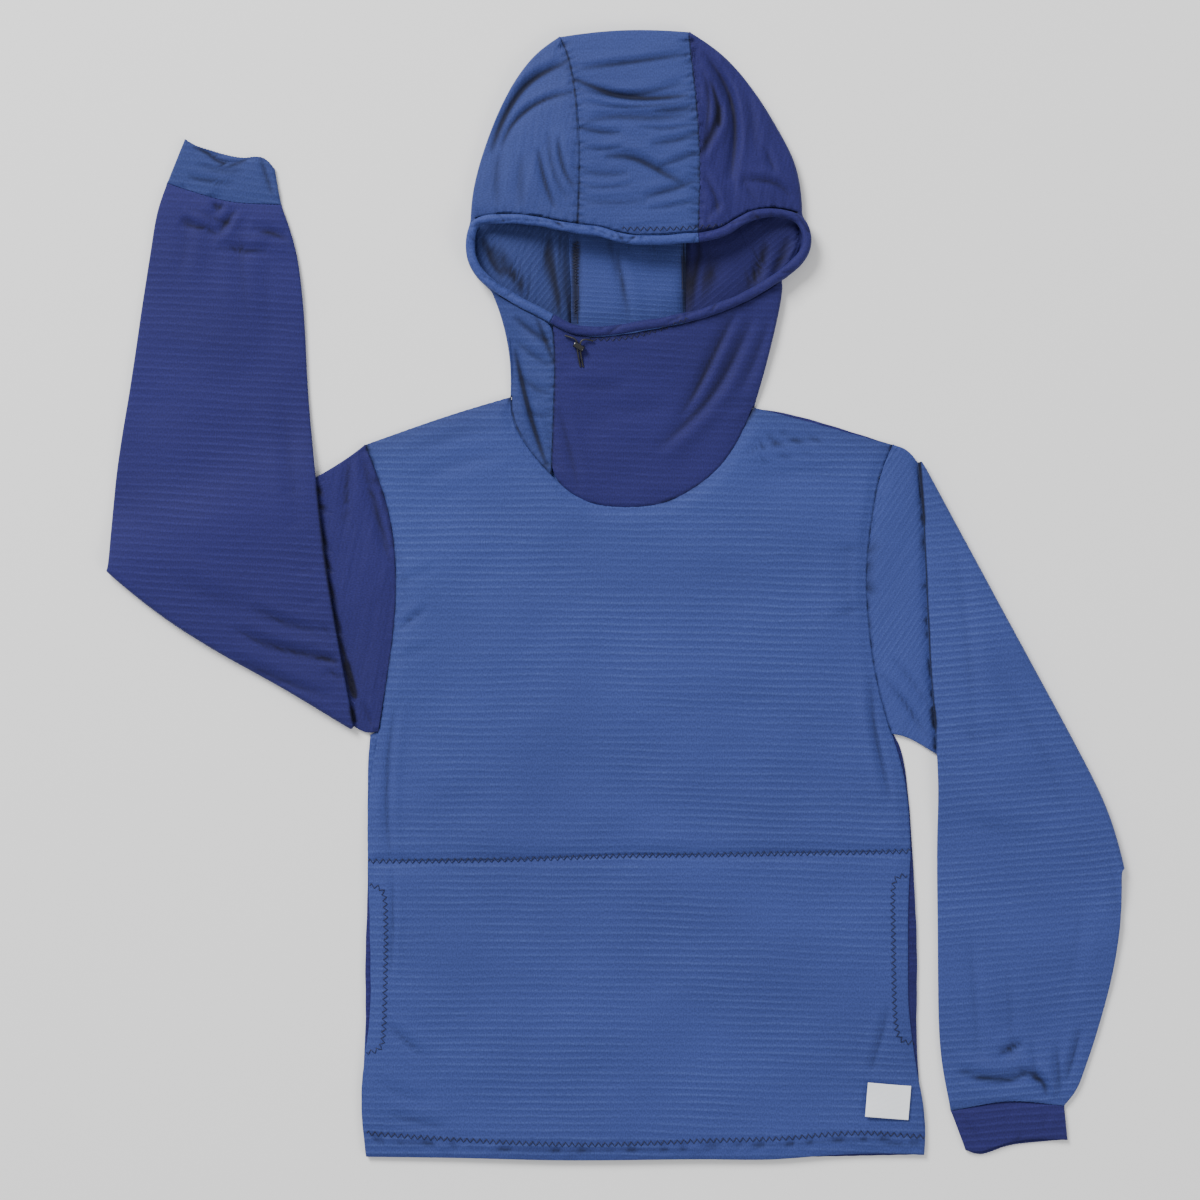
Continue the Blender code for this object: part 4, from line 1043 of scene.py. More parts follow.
@dataclass
class Panel:
    """One cut piece of jersey, from its solid to its dressed mesh.

    puff is how far the cloth stands over its seams, wave how uneven it lies, and sink how far its
    upper leaf may go down. A single layer moves as a whole; of a tube or a turned piece only the
    upper leaf moves. inner says how far inside the face opening a point lies, from nought to one,
    and that leaf is raised by inner_puff. plain says where the ribs are pulled out. Cut edges are
    spread a little, so that they meet the pieces that they are sewn to.
    """

    node: str
    finish: KnitFinish
    flat: tuple[float, float]
    area: float
    held: str = "laid"
    rests_on: tuple[str, ...] = ()
    levels: int = 3
    single: bool = False
    puff: float = 0.8
    wave: float = 0.35
    wavelength: float = 85.0
    sink: float = 0.2
    spread: float = 0.45
    # base_shade is painted shade laid evenly over the panel; inner_shade adds painted shade on the leaf
    # inside the face opening, and takes some away where below nought
    base_shade: float = 0.0
    inner_shade: float = 0.0
    inner_puff: float = 0.0
    inner: PointRule | None = None
    plain: PointRule | None = None
    creases: tuple[Crease, ...] = ()
    seams: tuple[Seam, ...] = ()
    swells: tuple[Swell, ...] = ()
    grains: PointRule = straight_grain()
    with_pieces: list[bpy.types.Object] = field(default_factory=list)

    def build(self, wardrobe: Wardrobe) -> bpy.types.Object:
        """Args:
            wardrobe: The materials.

        Returns:
            The finished piece.
        """
        piece = finer_copy(self.node, f"{self.node}_cloth", self.levels)
        self.shape(piece)
        lay_grain(piece, self.grains)
        dress(piece, self.finish, wardrobe, self.node)
        return piece

    def shape(self, piece: bpy.types.Object) -> None:
        """Move the cloth to its creases and seams, and note how much painted shade each point takes.

        Args:
            piece: The piece.
        """
        points = read_points(piece.data)
        share = np.ones(len(points)) if self.single else top_share(piece)
        inside = self.inner(points) if self.inner else np.zeros(len(points))
        plain = self.plain(points) if self.plain else np.zeros(len(points))
        edge = cut_edge_distance(piece, self.node)
        outward = np.array([vert.normal for vert in piece.data.vertices])
        points[:, :2] += outward[:, :2] * (self.spread * bell(edge))[:, None]
        free = 1.0 - bell(edge / SEWN_REACH)
        creased, fold_shade = crease_relief(points, self.creases, inside)
        gathered, seam_shade = seam_relief(points, self.seams, inside)
        puffed = self.puff + self.inner_puff * inside + self.wave * undulation(points, self.wavelength)
        rise = (puffed + swell_rise(points, self.swells)) * free + gathered
        rise += creased * (SEWN_CREASE + (1.0 - SEWN_CREASE) * free)
        lowest = -self.sink - self.inner_puff * inside * free
        points[:, 2] = np.maximum(points[:, 2] + share * np.maximum(rise, lowest), 0.0)
        write_points(piece.data, points)
        # painted shade of folds and seams on upward faces, plus the panel's even painted shade
        seen = np.clip(UPWARD_GAIN * outward[:, 2], 0.0, 1.0)
        shade = seen * (fold_shade + seam_shade) + self.base_shade + self.inner_shade * inside
        write_masks(piece.data, shade, plain)


def between(points: np.ndarray, lower: Line, upper: Line) -> np.ndarray:
    """Return one for points between two lines that run from left to right, and nought elsewhere.

    Args:
        points: The points.
        lower: The line below.
        upper: The line above.

    Returns:
        One value for each point.
    """
    low = np.interp(points[:, 0], *zip(*lower), left=math.inf, right=math.inf)
    high = np.interp(points[:, 0], *zip(*upper), left=-math.inf, right=-math.inf)
    return ((points[:, 1] > low) & (points[:, 1] < high)).astype(float)


def edge_at(points: np.ndarray, edge: Line) -> np.ndarray:
    """Return the x of an edge that runs downwards, at each point's y."""
    return np.interp(-points[:, 1], *zip(*((-y, x) for x, y in edge)))


# --- Seam lines that pieces share ---

ARMHOLE_LEFT: Line = (
    (-225, 134.5), (-219, 119), (-208, 92), (-199, 51), (-197, 9.5), (-199, -32), (-205, -72),
    (-213, -123),
)
ARMHOLE_RIGHT: Line = (
    (249, 134.5), (239, 118), (234, 90), (227, 46), (225, 9), (228, -32), (233, -72), (248, -125),
)
NECKLINE: Line = (
    (-94, 177.5), (-93, 156), (-78, 130), (-58, 107), (-33, 85), (13, 78), (46, 82), (67, 93),
    (93, 113), (112, 142), (124, 168),
)
POCKET_SEAM: Line = (
    (-222.5, -239.5), (-180, -239.5), (-78, -238), (3, -234), (76, -234), (148, -232.5),
    (225, -231.5), (265, -230.5),
)
HEM_STITCHES: Line = (
    (-223.6, -483.8), (-182, -487.3), (-117.5, -491.4), (-30, -494.6), (35.5, -492.8),
    (75, -490), (148, -489.6), (190, -484.3), (232.6, -482.9), (254, -485.6), (278, -487.3),
)
HEM_FOLD: Line = (
    (-223.6, -489.5), (-182, -493.3), (-117.5, -497.4), (-30, -500.6), (35.5, -499.0),
    (75, -496), (148, -495.6), (190, -490.8), (232.6, -489.4), (254, -491.6), (278, -493.3),
)
HOOD_SEAM_LEFT: Line = ((-48, 496.5), (-43, 485), (-35, 448), (-32, 388), (-34, 326))
HOOD_SEAM_RIGHT: Line = ((66, 500.5), (68, 480), (72.5, 439), (75, 397), (74, 319))
INNER_SEAM_LEFT: Line = ((-35.5, 317), (-36, 290), (-37, 243))
INNER_SEAM_RIGHT: Line = ((62.5, 310), (63, 286), (63.5, 253))
FRONT_SEAM: Line = ((-57, 247), (-54, 210), (-55, 180), (-56, 148), (-58, 107))
UPPER_RIM: Line = (
    (-126, 338), (-115, 340), (-100, 341.5), (-71, 339), (-34, 331.5), (-8.5, 328.5), (12, 321.5),
    (39, 321.5), (74, 324.5), (95, 328.5), (117.5, 342.5), (141, 347.5), (163.5, 343),
)
LOWER_RIM: Line = (
    (-108, 270.5), (-95, 262), (-80, 253.5), (-57, 241.5), (-34, 230.5), (3, 231.5), (37, 237.5),
    (71.5, 244.5), (106, 256.5), (129, 268.5), (146, 279.5),
)
OPENING_BELOW: Line = (
    (-128, 300), (-108, 272), (-95, 264), (-80, 256), (-57, 244), (-34, 233), (3, 234), (37, 240),
    (71.5, 247), (106, 259), (129, 271), (146, 282), (164, 310),
)
FOREARM_EDGE_LEFT: Line = (
    (-264.4, 92), (-261, 67), (-257.4, 31), (-252, -11), (-244.8, -41), (-238.5, -70), (-233, -122),
)
FOREARM_EDGE_RIGHT: Line = (
    (273.2, 114), (277.6, 65), (280, 0), (283.5, -77), (286, -92), (288, -119), (288.5, -143),
)
SHOULDERS: tuple[Line, ...] = (
    ((-222, 142), (-170, 160), (-96, 182)), ((126, 176), (180, 162), (248, 142)),
)
FOLD_SHADOW_LEFT: Line = (
    (-267, 97), (-264.3, 70), (-260.8, 35), (-255, 0), (-249.2, -32), (-243.5, -58), (-237, -81),
    (-234.2, -92),
)
FOLD_SHADOW_RIGHT: Line = (
    (272.6, 118), (274.5, 92), (276.6, 66), (278.6, 20), (281, -30), (283, -77), (286, -104),
    (287.6, -141),
)
RIM_FOLDS: tuple[Line, ...] = (
    ((-129, 329), (-95, 336), (-56, 332.5), (-32, 329)),
    ((-24, 328), (-2, 319), (12, 317), (30, 319)),
    ((76, 321.5), (115, 336), (144, 340), (163, 334)),
    ((-120, 287), (-85, 268), (-51, 251), (-12, 238.5)),
    ((46, 243.5), (105, 268), (154, 297)),
)
RIM_KINKS: tuple[Line, ...] = (
    ((-58, 337), (-47, 328)), ((-1, 326), (8, 313)), ((11, 314), (21, 323)), ((75, 326), (69, 314)),
    ((123, 341), (133, 331)), ((163, 339), (173, 325)), ((-108, 343), (-100, 334)),
    ((-130, 320), (-121, 312)), ((-97, 268), (-88, 274)), ((-6, 233), (4, 241)),
    ((86, 254), (92, 264)), ((150, 288), (160, 290)),
)


# --- Body ---


FRONT_CREASES = crease_table(
    Leaf.ANY,
    (-2.0, 4.5, 1.4, (-198, -95), (-203, -129), (-206, -164), (-206, -216), (-200, -245)),
    (-2.2, 4.5, -1.5, (229, -72), (231, -112), (236, -136), (243, -167), (247, -188)),
    (-2.6, 3.6, -1.8, (112, 125), (144, 138), (188, 139)),
    (-1.6, 3.4, -1.0, (112, 117), (158, 126), (182, 127)),
    (-1.4, 3.0, -0.9, (118, 133), (136, 142), (160, 147)),
    (-1.7, 3.4, 1.2, (-196, -31), (-184, -22), (-168, -11)),
    (-0.8, 4.0, 0.7, (-197, -58), (-180, -50), (-160, -46)),
    (-0.8, 4.0, 0.7, (-198, 12), (-182, 16), (-160, 26)),
    (-0.8, 4.0, -0.7, (226, -10), (210, -14), (190, -24)),
    (-0.7, 4.0, -0.6, (229, 44), (214, 40), (196, 42)),
    (-0.7, 7, 0.5, (120, 106), (160, 113), (205, 108)),
    (-0.9, 7, 0.8, (-98, 126), (-125, 124), (-176, 106)),
    (-0.7, 8, 0.6, (-96, 150), (-130, 150), (-190, 128)),
    (-0.6, 9, 0.7, (-205, 60), (-190, 30), (-188, -30)),
    (-0.7, 9, -0.7, (212, 60), (205, 20), (212, -40)),
    (0.7, 26, 0.0, (-150, 90), (-60, 52), (30, 46), (110, 60), (190, 84)),
)
POCKET_CREASES = crease_table(
    Leaf.ANY,
    (-1.8, 5, 1.3, (-206, -385), (-188, -402), (-170, -416)),
    (-1.5, 5, 1.0, (-206, -466), (-180, -474), (-150, -478)),
    (-0.9, 6, 0.7, (-216, -436), (-192, -450), (-168, -455)),
    (-1.7, 3.2, 0.8, (-200, -242), (-200, -290), (-202, -345)),
    (-1.6, 4, -0.9, (246, -366), (238, -400), (228, -430)),
    (-0.7, 7, 0.6, (262, -430), (230, -418), (196, -420)),
    (-1.8, 2.6, 1.0, (236, -490), (250, -494), (262, -493)),
    (-1.3, 2.4, 0.8, (206, -494), (222, -497), (236, -496)),
)
FRONT_SEAMS = (
    Seam(ARMHOLE_LEFT, 0.22, 9.0), Seam(ARMHOLE_RIGHT, 0.25, 8.0), Seam(NECKLINE, 0.12, 9.0),
    Seam(POCKET_SEAM, 0.12, 8.0, tone=0.0),
    # broad painted shade along both shoulders, with no pucker or sink
    *(Seam(line, 0.0, reach=24.0, sink=0.0, tone=0.32, half_width=24.0) for line in SHOULDERS),
)
FRONT_SWELLS = (
    Swell(20, -60, 170, 110, 1.4), Swell(-150, 60, 70, 60, 0.8), Swell(170, 40, 70, 80, 0.9),
    Swell(60, -180, 120, 40, -0.7),
)
POCKET_SEAMS = (
    Seam(POCKET_SEAM, 0.12, 8.0, tone=0.0),
    Seam(HEM_STITCHES, 0.2, 9.0, 5.0, sink=0.7, tone=0.15, half_width=2.5),
    Seam(HEM_FOLD, 0.8, 23.0, 3.5, sink=0.5, tone=0.4, half_width=1.8),
)
POCKET_SWELLS = (
    Swell(20, -370, 180, 70, 1.2), Swell(-140, -300, 60, 40, 0.6), Swell(160, -320, 70, 50, 0.6),
)


@dataclass
class Body:
    """Front, pocket and both halves of the back."""

    wardrobe: Wardrobe
    rib_tilt: float = -0.6
    rib_bow: float = 3.0

    def build(self) -> list[bpy.types.Object]:
        """Build and dress every panel of the body, and return them.

        Returns:
            The panels' cloth.
        """
        on_back = ("back_left_cloth", "back_right_cloth")
        still = {"single": True, "puff": 0.0, "wave": 0.0}
        front = {"single": True, "grains": straight_grain(self.rib_tilt, self.rib_bow)}
        panels = [
            Panel("back_left", LIGHT_BLUE, (0.25, 0.69), 0.160, levels=2, **still),
            Panel("back_right", INDIGO, (0.25, 0.68), 0.157, levels=2, **still),
            Panel("pocket_back", INDIGO, (0.50, 0.267), 0.131, rests_on=on_back, **still),
            Panel("front_body", LIGHT_BLUE, (0.50, 0.42), 0.165, **front, puff=2.2, wave=0.8,
                  rests_on=on_back, creases=FRONT_CREASES, swells=FRONT_SWELLS, seams=FRONT_SEAMS),
            Panel("pocket_front", LIGHT_BLUE, (0.51, 0.28), 0.134, **front, puff=1.6, wave=0.6,
                  rests_on=("pocket_back_cloth",), creases=POCKET_CREASES, swells=POCKET_SWELLS,
                  seams=POCKET_SEAMS),
        ]
        return [panel.build(self.wardrobe) for panel in panels]


# --- Sleeves ---


SLEEVE_LEFT_CREASES = crease_table(
    Leaf.ANY,
    (-2.4, 4.8, 1.3, (-239, 124), (-242, 98), (-244, 60)),
    (-2.6, 4.8, -1.4, (-227, 124), (-217, 78), (-202, 28)),
    (-2.0, 3.2, 0.5, (-266, -30), (-256, -33), (-248, -32)),
    (-2.0, 3.2, 0.5, (-270, -56), (-258, -58), (-248, -60)),
    (-2.0, 3.2, 0.5, (-262, -68), (-252, -71), (-243, -74)),
    (-1.6, 3.5, 1.0, (-228, -95), (-222, -110), (-218, -122)),
    (-2.6, 5, 1.8, (-343, -30), (-310, -48), (-270, -55), (-246, -62)),
    (-2.0, 5, 1.4, (-330, -10), (-300, -26), (-262, -34)),
    (-1.8, 5, 1.3, (-345, -56), (-300, -78), (-256, -92)),
    (-0.7, 9, 0.7, (-400, 20), (-360, -6), (-330, -12)),
    (-3.0, 4.4, 1.5, (-392, 337), (-374, 330), (-356, 323)),
    (-2.6, 4.0, -1.4, (-357, 323), (-350, 334), (-341, 346)),
    (-2.4, 4.2, 1.2, (-358, 313), (-336, 309), (-312, 308)),
    (-3.4, 4.0, 0.8, (-361, 353), (-357.5, 344), (-353, 352)),
    (-1.6, 4.0, 0.9, (-384, 347), (-360, 338), (-338, 329)),
    (-2.8, 4.2, -1.4, (-326, 329), (-310, 325), (-294, 320)),
    (-0.8, 7, 0.9, (-384, 350), (-386, 320), (-392, 280)),
    (-0.8, 8, -0.8, (-336, 345), (-338, 300), (-330, 240)),
    (-0.6, 9, -0.7, (-310, 330), (-316, 290), (-312, 220)),
    (-0.7, 8, -0.8, (-300, 180), (-292, 120), (-286, 60)),
    (-0.8, 2.6, 0.4, (-284, 92), (-292, 91), (-300, 92)),
    (-0.7, 2.6, 0.4, (-280, 62), (-290, 62), (-296, 60)),
    (-0.8, 2.8, 0.5, (-268, 20), (-278, 22), (-288, 20)),
    (-0.7, 2.6, 0.4, (-262, -8), (-272, -7), (-280, -10)),
)
SLEEVE_RIGHT_CREASES = crease_table(
    Leaf.ANY,
    (-1.5, 4, 1.1, (236, -68), (262, -100), (284, -132)),
    (-1.6, 4, 1.2, (248, -55), (268, -80), (284, -104)),
    (-0.9, 3.5, 0.7, (252, -84), (268, -108), (276, -134)),
    (-3.8, 5.2, 3.0, (306, -427), (337, -438), (360, -436), (370, -429)),
    (-3.6, 4.6, 2.4, (362, -428), (376, -432), (386, -439), (387, -452)),
    (-2.6, 4.6, 1.6, (342, -413), (356, -408), (368, -400)),
    (1.8, 4.6, 0.0, (324, -420), (345, -425), (362, -418), (376, -424)),
    (-2.0, 4, -1.3, (418, -388), (412, -414), (404, -440)),
    (-1.8, 4, -1.3, (396, -404), (398, -430), (400, -450)),
    (-1.1, 5, 0.9, (372, -396), (376, -424), (380, -448)),
    (-0.7, 12, 1.0, (336, -60), (380, -130), (410, -210)),
    (-0.8, 9, 1.0, (300, 60), (316, -40), (322, -150)),
    (-0.8, 8, 0.7, (300, -120), (330, -132), (360, -118)),
    (-0.7, 10, 0.7, (300, -190), (340, -214), (390, -214)),
    (-1.0, 7, 1.0, (318, -300), (322, -370), (326, -426)),
    (-0.9, 8, 0.8, (350, -330), (356, -390), (354, -432)),
    (-0.7, 10, 0.8, (420, -270), (410, -330), (400, -380)),
)
CUFF_LEFT_CREASES = crease_table(
    Leaf.ANY,
    (-2.2, 3.0, 1.3, (-380, 403), (-365, 396), (-359, 390), (-350, 386)),
    (-2.2, 2.6, 1.1, (-356, 388), (-345, 385), (-331, 391)),
    (-1.3, 2.6, 0.8, (-386, 376), (-366, 372), (-344, 368)),
    (-1.2, 3.5, 1.0, (-320, 394), (-314, 376), (-308, 358)),
    (-0.8, 4, 0.7, (-376, 388), (-356, 380), (-334, 380)),
)
CUFF_RIGHT_CREASES = crease_table(
    Leaf.ANY,
    (-1.0, 4, 0.8, (312, -470), (322, -482), (330, -496)),
    (-0.8, 4, 0.7, (352, -462), (350, -476), (352, -490)),
    (-0.8, 4, 0.6, (388, -464), (384, -476), (386, -488)),
)
SLEEVE_LEFT_SEAMS = (
    Seam(ARMHOLE_LEFT, 0.3, 8.0),
    # painted shadow beside the lifted forearm's edge, with a little sink
    Seam(FOLD_SHADOW_LEFT, 0.0, sink=0.4, tone=0.9, half_width=2.5),
    Seam(((-241, -64), (-236, -88)), 0.0, sink=0.4, tone=0.8, half_width=3.4),
    Seam(((-237, -103), (-235, -113)), 0.0, sink=0.4, tone=1.0, half_width=2.6),
)
SLEEVE_RIGHT_SEAMS = (
    Seam(ARMHOLE_RIGHT, 0.3, 8.0),
    # painted shadow beside the lifted forearm's edge, with a little sink
    Seam(FOLD_SHADOW_RIGHT, 0.0, sink=0.3, tone=1.0, half_width=1.1),
    Seam(FOLD_SHADOW_RIGHT[:3], 0.0, sink=0.4, tone=0.9, half_width=1.9),
    Seam(((284.5, -104), (286.5, -118)), 0.0, tone=1.0, half_width=2.6),
)


@dataclass
class Sleeves:
    """Both sleeves and their cuffs."""

    wardrobe: Wardrobe
    left_angles: tuple[float, float] = (-3.0, 80.0)      # ribs of the forearm and the upper arm
    right_angles: tuple[float, float] = (5.0, 57.0)
    cap_fineness: float = 1.5
    cap_plainness: float = 0.45
    left_cap_top: float = 135.0
    right_cap_bottom: float = -160.0

    def build(self) -> list[bpy.types.Object]:
        """Build and dress the sleeves and the cuffs, and return them.

        Returns:
            The sleeves' and the cuffs' cloth.
        """
        sleeve = {"held": "folded", "wave": 0.7, "sink": 1.6}
        cuff = {"puff": 0.5, "sink": 1.2}
        panels = [
            Panel("sleeve_left", INDIGO, (0.37, 0.72), 0.211, **sleeve, grains=self.left_grain,
                  creases=SLEEVE_LEFT_CREASES, plain=self.on_left_cap, seams=SLEEVE_LEFT_SEAMS,
                  swells=(Swell(-370, 180, 40, 90, 1.4), Swell(-360, 20, 60, 60, 1.2))),
            Panel("sleeve_right", LIGHT_BLUE, (0.37, 0.72), 0.205, **sleeve, grains=self.right_grain,
                  creases=SLEEVE_RIGHT_CREASES, plain=self.right_plain, seams=SLEEVE_RIGHT_SEAMS,
                  swells=(Swell(370, -300, 50, 90, 1.4), Swell(340, -60, 50, 90, 1.0))),
            Panel("cuff_left", LIGHT_BLUE, (0.20, 0.06), 0.008, grains=straight_grain(-8.0), **cuff,
                  creases=CUFF_LEFT_CREASES, base_shade=0.38),
            Panel("cuff_right", INDIGO, (0.20, 0.06), 0.007, grains=straight_grain(4.0), **cuff,
                  creases=CUFF_RIGHT_CREASES),
        ]
        return [panel.build(self.wardrobe) for panel in panels]

    def on_left_cap(self, points: np.ndarray) -> np.ndarray:
        """Return one for points on the part of the left upper arm that shows."""
        beyond = points[:, 0] > edge_at(points, FOREARM_EDGE_LEFT)
        return (beyond & (points[:, 1] < self.left_cap_top)).astype(float)

    def on_right_cap(self, points: np.ndarray) -> np.ndarray:
        """Return one for points on the part of the right upper arm that shows."""
        before = points[:, 0] < edge_at(points, FOREARM_EDGE_RIGHT)
        return (before & (points[:, 1] > self.right_cap_bottom)).astype(float)

    def right_plain(self, points: np.ndarray) -> np.ndarray:
        """Say how far the ribs are pulled out on the right sleeve, only on its upper arm."""
        return self.cap_plainness * self.on_right_cap(points)

    def left_grain(self, centres: np.ndarray) -> np.ndarray:
        """Ribs of the raised sleeve: level on the forearm, steep on the upper arm beneath."""
        return two_grains(self.on_left_cap(centres) > 0.5, self.left_angles, 1.0)

    def right_grain(self, centres: np.ndarray) -> np.ndarray:
        """Ribs of the lowered sleeve: near level on the forearm, steep and fine on the upper arm."""
        return two_grains(self.on_right_cap(centres) > 0.5, self.right_angles, self.cap_fineness)


# --- Hood ---


HOOD_LEFT_CREASES = crease_table(
    Leaf.OUTSIDE,
    (-3.4, 4.5, 2.0, (-112, 395), (-103, 425), (-84, 456), (-62, 470), (-41, 477)),
    (-2.4, 3.5, 1.5, (-103, 398), (-96, 420), (-76, 438), (-56, 446), (-37, 449)),
    (-2.2, 3.5, 1.3, (-70, 400), (-66, 378), (-60, 358), (-54, 344)),
    (-2.0, 3.5, 1.2, (-52, 410), (-50, 390), (-44, 372), (-36, 362)),
    (-1.2, 3.5, 0.9, (-60, 415), (-60, 392), (-52, 366), (-42, 352)),
    (-0.9, 6, 0.8, (-84, 396), (-86, 370), (-84, 346)),
    (-1.0, 6, 0.8, (-104, 398), (-108, 372), (-106, 348)),
    (-3.2, 3.8, 2.2, (-91, 222), (-82, 180), (-72, 144), (-61, 113)),
    (-1.8, 4, 1.0, (-72, 250), (-66, 236), (-54, 204)),
    (-1.5, 4.5, 1.1, (-92, 250), (-76, 236), (-58, 224)),
    (-1.0, 4.5, 0.8, (-90, 228), (-74, 214), (-57, 204)),
    (-1.0, 5, 0.7, (-86, 196), (-72, 184), (-58, 180)),
    (-0.8, 4, 0.6, (-80, 166), (-68, 160), (-58, 160)),
) + crease_table(
    Leaf.INSIDE,
    (-3.4, 6, 1.6, (-64, 320), (-60, 300), (-54, 276), (-48, 250)),
    (-2.4, 4.5, 1.0, (-50, 318), (-46, 296), (-42, 262)),
    (-2.6, 6, 1.2, (-112, 314), (-96, 290), (-76, 270)),
    (-2.2, 5, 1.0, (-120, 322), (-112, 300), (-100, 284)),
)
HOOD_RIGHT_CREASES = crease_table(
    Leaf.OUTSIDE,
    (-4.4, 4.6, 2.6, (79, 486), (94, 466), (106, 441), (108, 402), (101, 368)),
    (-3.2, 4.2, -1.8, (84, 462), (92, 440), (93, 416)),
    (-3.0, 4.2, 1.6, (95, 440), (86, 412), (72, 388)),
    (-2.2, 3.6, 1.2, (78, 470), (84, 446), (82, 420), (78, 400)),
    (-2.0, 3.6, 1.2, (78, 376), (90, 356), (92, 336)),
    (-1.6, 3.5, 1.2, (76, 388), (88, 410), (97, 432)),
    (-2.4, 4, 1.6, (112, 371), (146, 371), (158, 354)),
    (-1.8, 3.5, 1.2, (133, 402), (140, 385), (144, 376)),
    (-1.2, 5, 1.0, (118, 452), (124, 420), (126, 390)),
    (-1.4, 3.5, 0.9, (96, 352), (84, 342), (80, 330)),
    (-1.2, 4, 0.9, (128, 350), (118, 362), (112, 372)),
    (-3.0, 5, 2.4, (107, 254), (88, 216), (72, 182), (56, 158)),
    (-2.6, 6, 2.2, (124, 252), (104, 208), (82, 170), (34, 128)),
    (-1.5, 6, 1.3, (138, 250), (126, 214), (110, 180)),
    (-1.6, 5, 1.0, (-52, 171), (-44, 140), (-32, 90)),
    (-0.9, 6, 0.8, (-44, 190), (-20, 184), (10, 186)),
    (-0.7, 7, 0.6, (-20, 168), (20, 164), (50, 170)),
) + crease_table(
    Leaf.INSIDE,
    (-3.4, 6, 1.8, (78, 314), (72, 288), (66, 262)),
    (-3.0, 6, 1.5, (92, 314), (84, 290), (78, 264)),
    (-3.2, 6, 1.5, (136, 316), (128, 290), (112, 266)),
    (-2.6, 5, 1.2, (156, 322), (150, 304), (140, 288)),
)
HOOD_CENTRE_CREASES = crease_table(
    Leaf.OUTSIDE,
    (-1.8, 4, 1.4, (-36, 470), (-18, 472), (12, 476), (66, 484)),
    (-3.4, 4, -2.2, (-40, 462), (-12, 450), (20, 441), (66, 446)),
    (-1.4, 4, 1.0, (-34, 452), (0, 444), (30, 448), (62, 458)),
    (-1.4, 5, 1.2, (-32, 420), (-4, 428), (30, 424), (66, 428)),
    (-1.6, 4, 1.1, (-36, 418), (-14, 412), (6, 412)),
    (-2.2, 5, 1.7, (-11, 391), (16, 392), (42, 376), (62, 366)),
    (-1.4, 4, 1.0, (30, 402), (54, 404), (74, 412)),
    (-1.5, 4, 1.0, (34, 432), (54, 432), (74, 436)),
    (-1.3, 3.5, 0.9, (36, 380), (56, 388), (74, 394)),
    (-1.5, 4, 1.1, (24, 354), (54, 362), (74, 370)),
    (-1.0, 4.5, 0.8, (-32, 378), (-10, 374), (12, 376)),
    (-0.8, 5, 0.7, (-32, 352), (0, 348), (30, 352)),
    (-1.2, 2.6, 0.9, (-30, 440), (0, 434), (34, 436), (64, 440)),
    (-1.2, 2.6, 0.9, (20, 418), (44, 414), (72, 420)),
    (-1.2, 2.6, 0.9, (-34, 400), (-14, 396), (8, 400)),
    (-1.0, 2.6, 0.8, (28, 344), (50, 346), (74, 352)),
    (-1.0, 2.6, 0.8, (-34, 365), (-10, 362), (16, 366)),
) + crease_table(
    Leaf.INSIDE,
    (-2.2, 5, 1.4, (-7, 316), (6, 286), (10, 250)),
)
# the seams inside the hood take a wide band of painted shade along them
INNER_SEAMS = tuple(
    Seam(line, 0.3, 6.0, 6.0, tone=1.0, half_width=3.2, leaf=Leaf.INSIDE)
    for line in (INNER_SEAM_LEFT, INNER_SEAM_RIGHT)
)
HOOD_LEFT_SEAMS = (
    Seam(HOOD_SEAM_LEFT, 0.5, 7.0, 6.0), Seam(FRONT_SEAM, 0.4, 7.0, 6.0),
    Seam(UPPER_RIM, 0.3, 8.0, 6.0, tone=0.25), Seam(NECKLINE, 0.15), *INNER_SEAMS,
)
HOOD_RIGHT_SEAMS = (
    Seam(HOOD_SEAM_RIGHT, 0.5, 7.0, 6.0), Seam(FRONT_SEAM, 0.35, 7.0, 6.0),
    Seam(UPPER_RIM, 0.35, 8.0, 6.0), Seam(NECKLINE, 0.15), Seam(LOWER_RIM, 0.2, 8.0, 5.0),
    *INNER_SEAMS,
)
HOOD_CENTRE_SEAMS = (
    Seam(HOOD_SEAM_LEFT, 0.45, 7.0, 6.0), Seam(HOOD_SEAM_RIGHT, 0.55, 6.5, 8.0),
    Seam(UPPER_RIM, 0.2, 8.0, 5.0, tone=0.25), *INNER_SEAMS,
)
# the rim's folds and kinks, each with painted shade along it
CASING_SEAMS = (
    *(Seam(line, 0.35, 9.0, 3.0, 0.7, 0.34, 1.0) for line in RIM_FOLDS),
    *(Seam(line, 0.0, sink=0.9, tone=0.5, half_width=1.3) for line in RIM_KINKS),
)


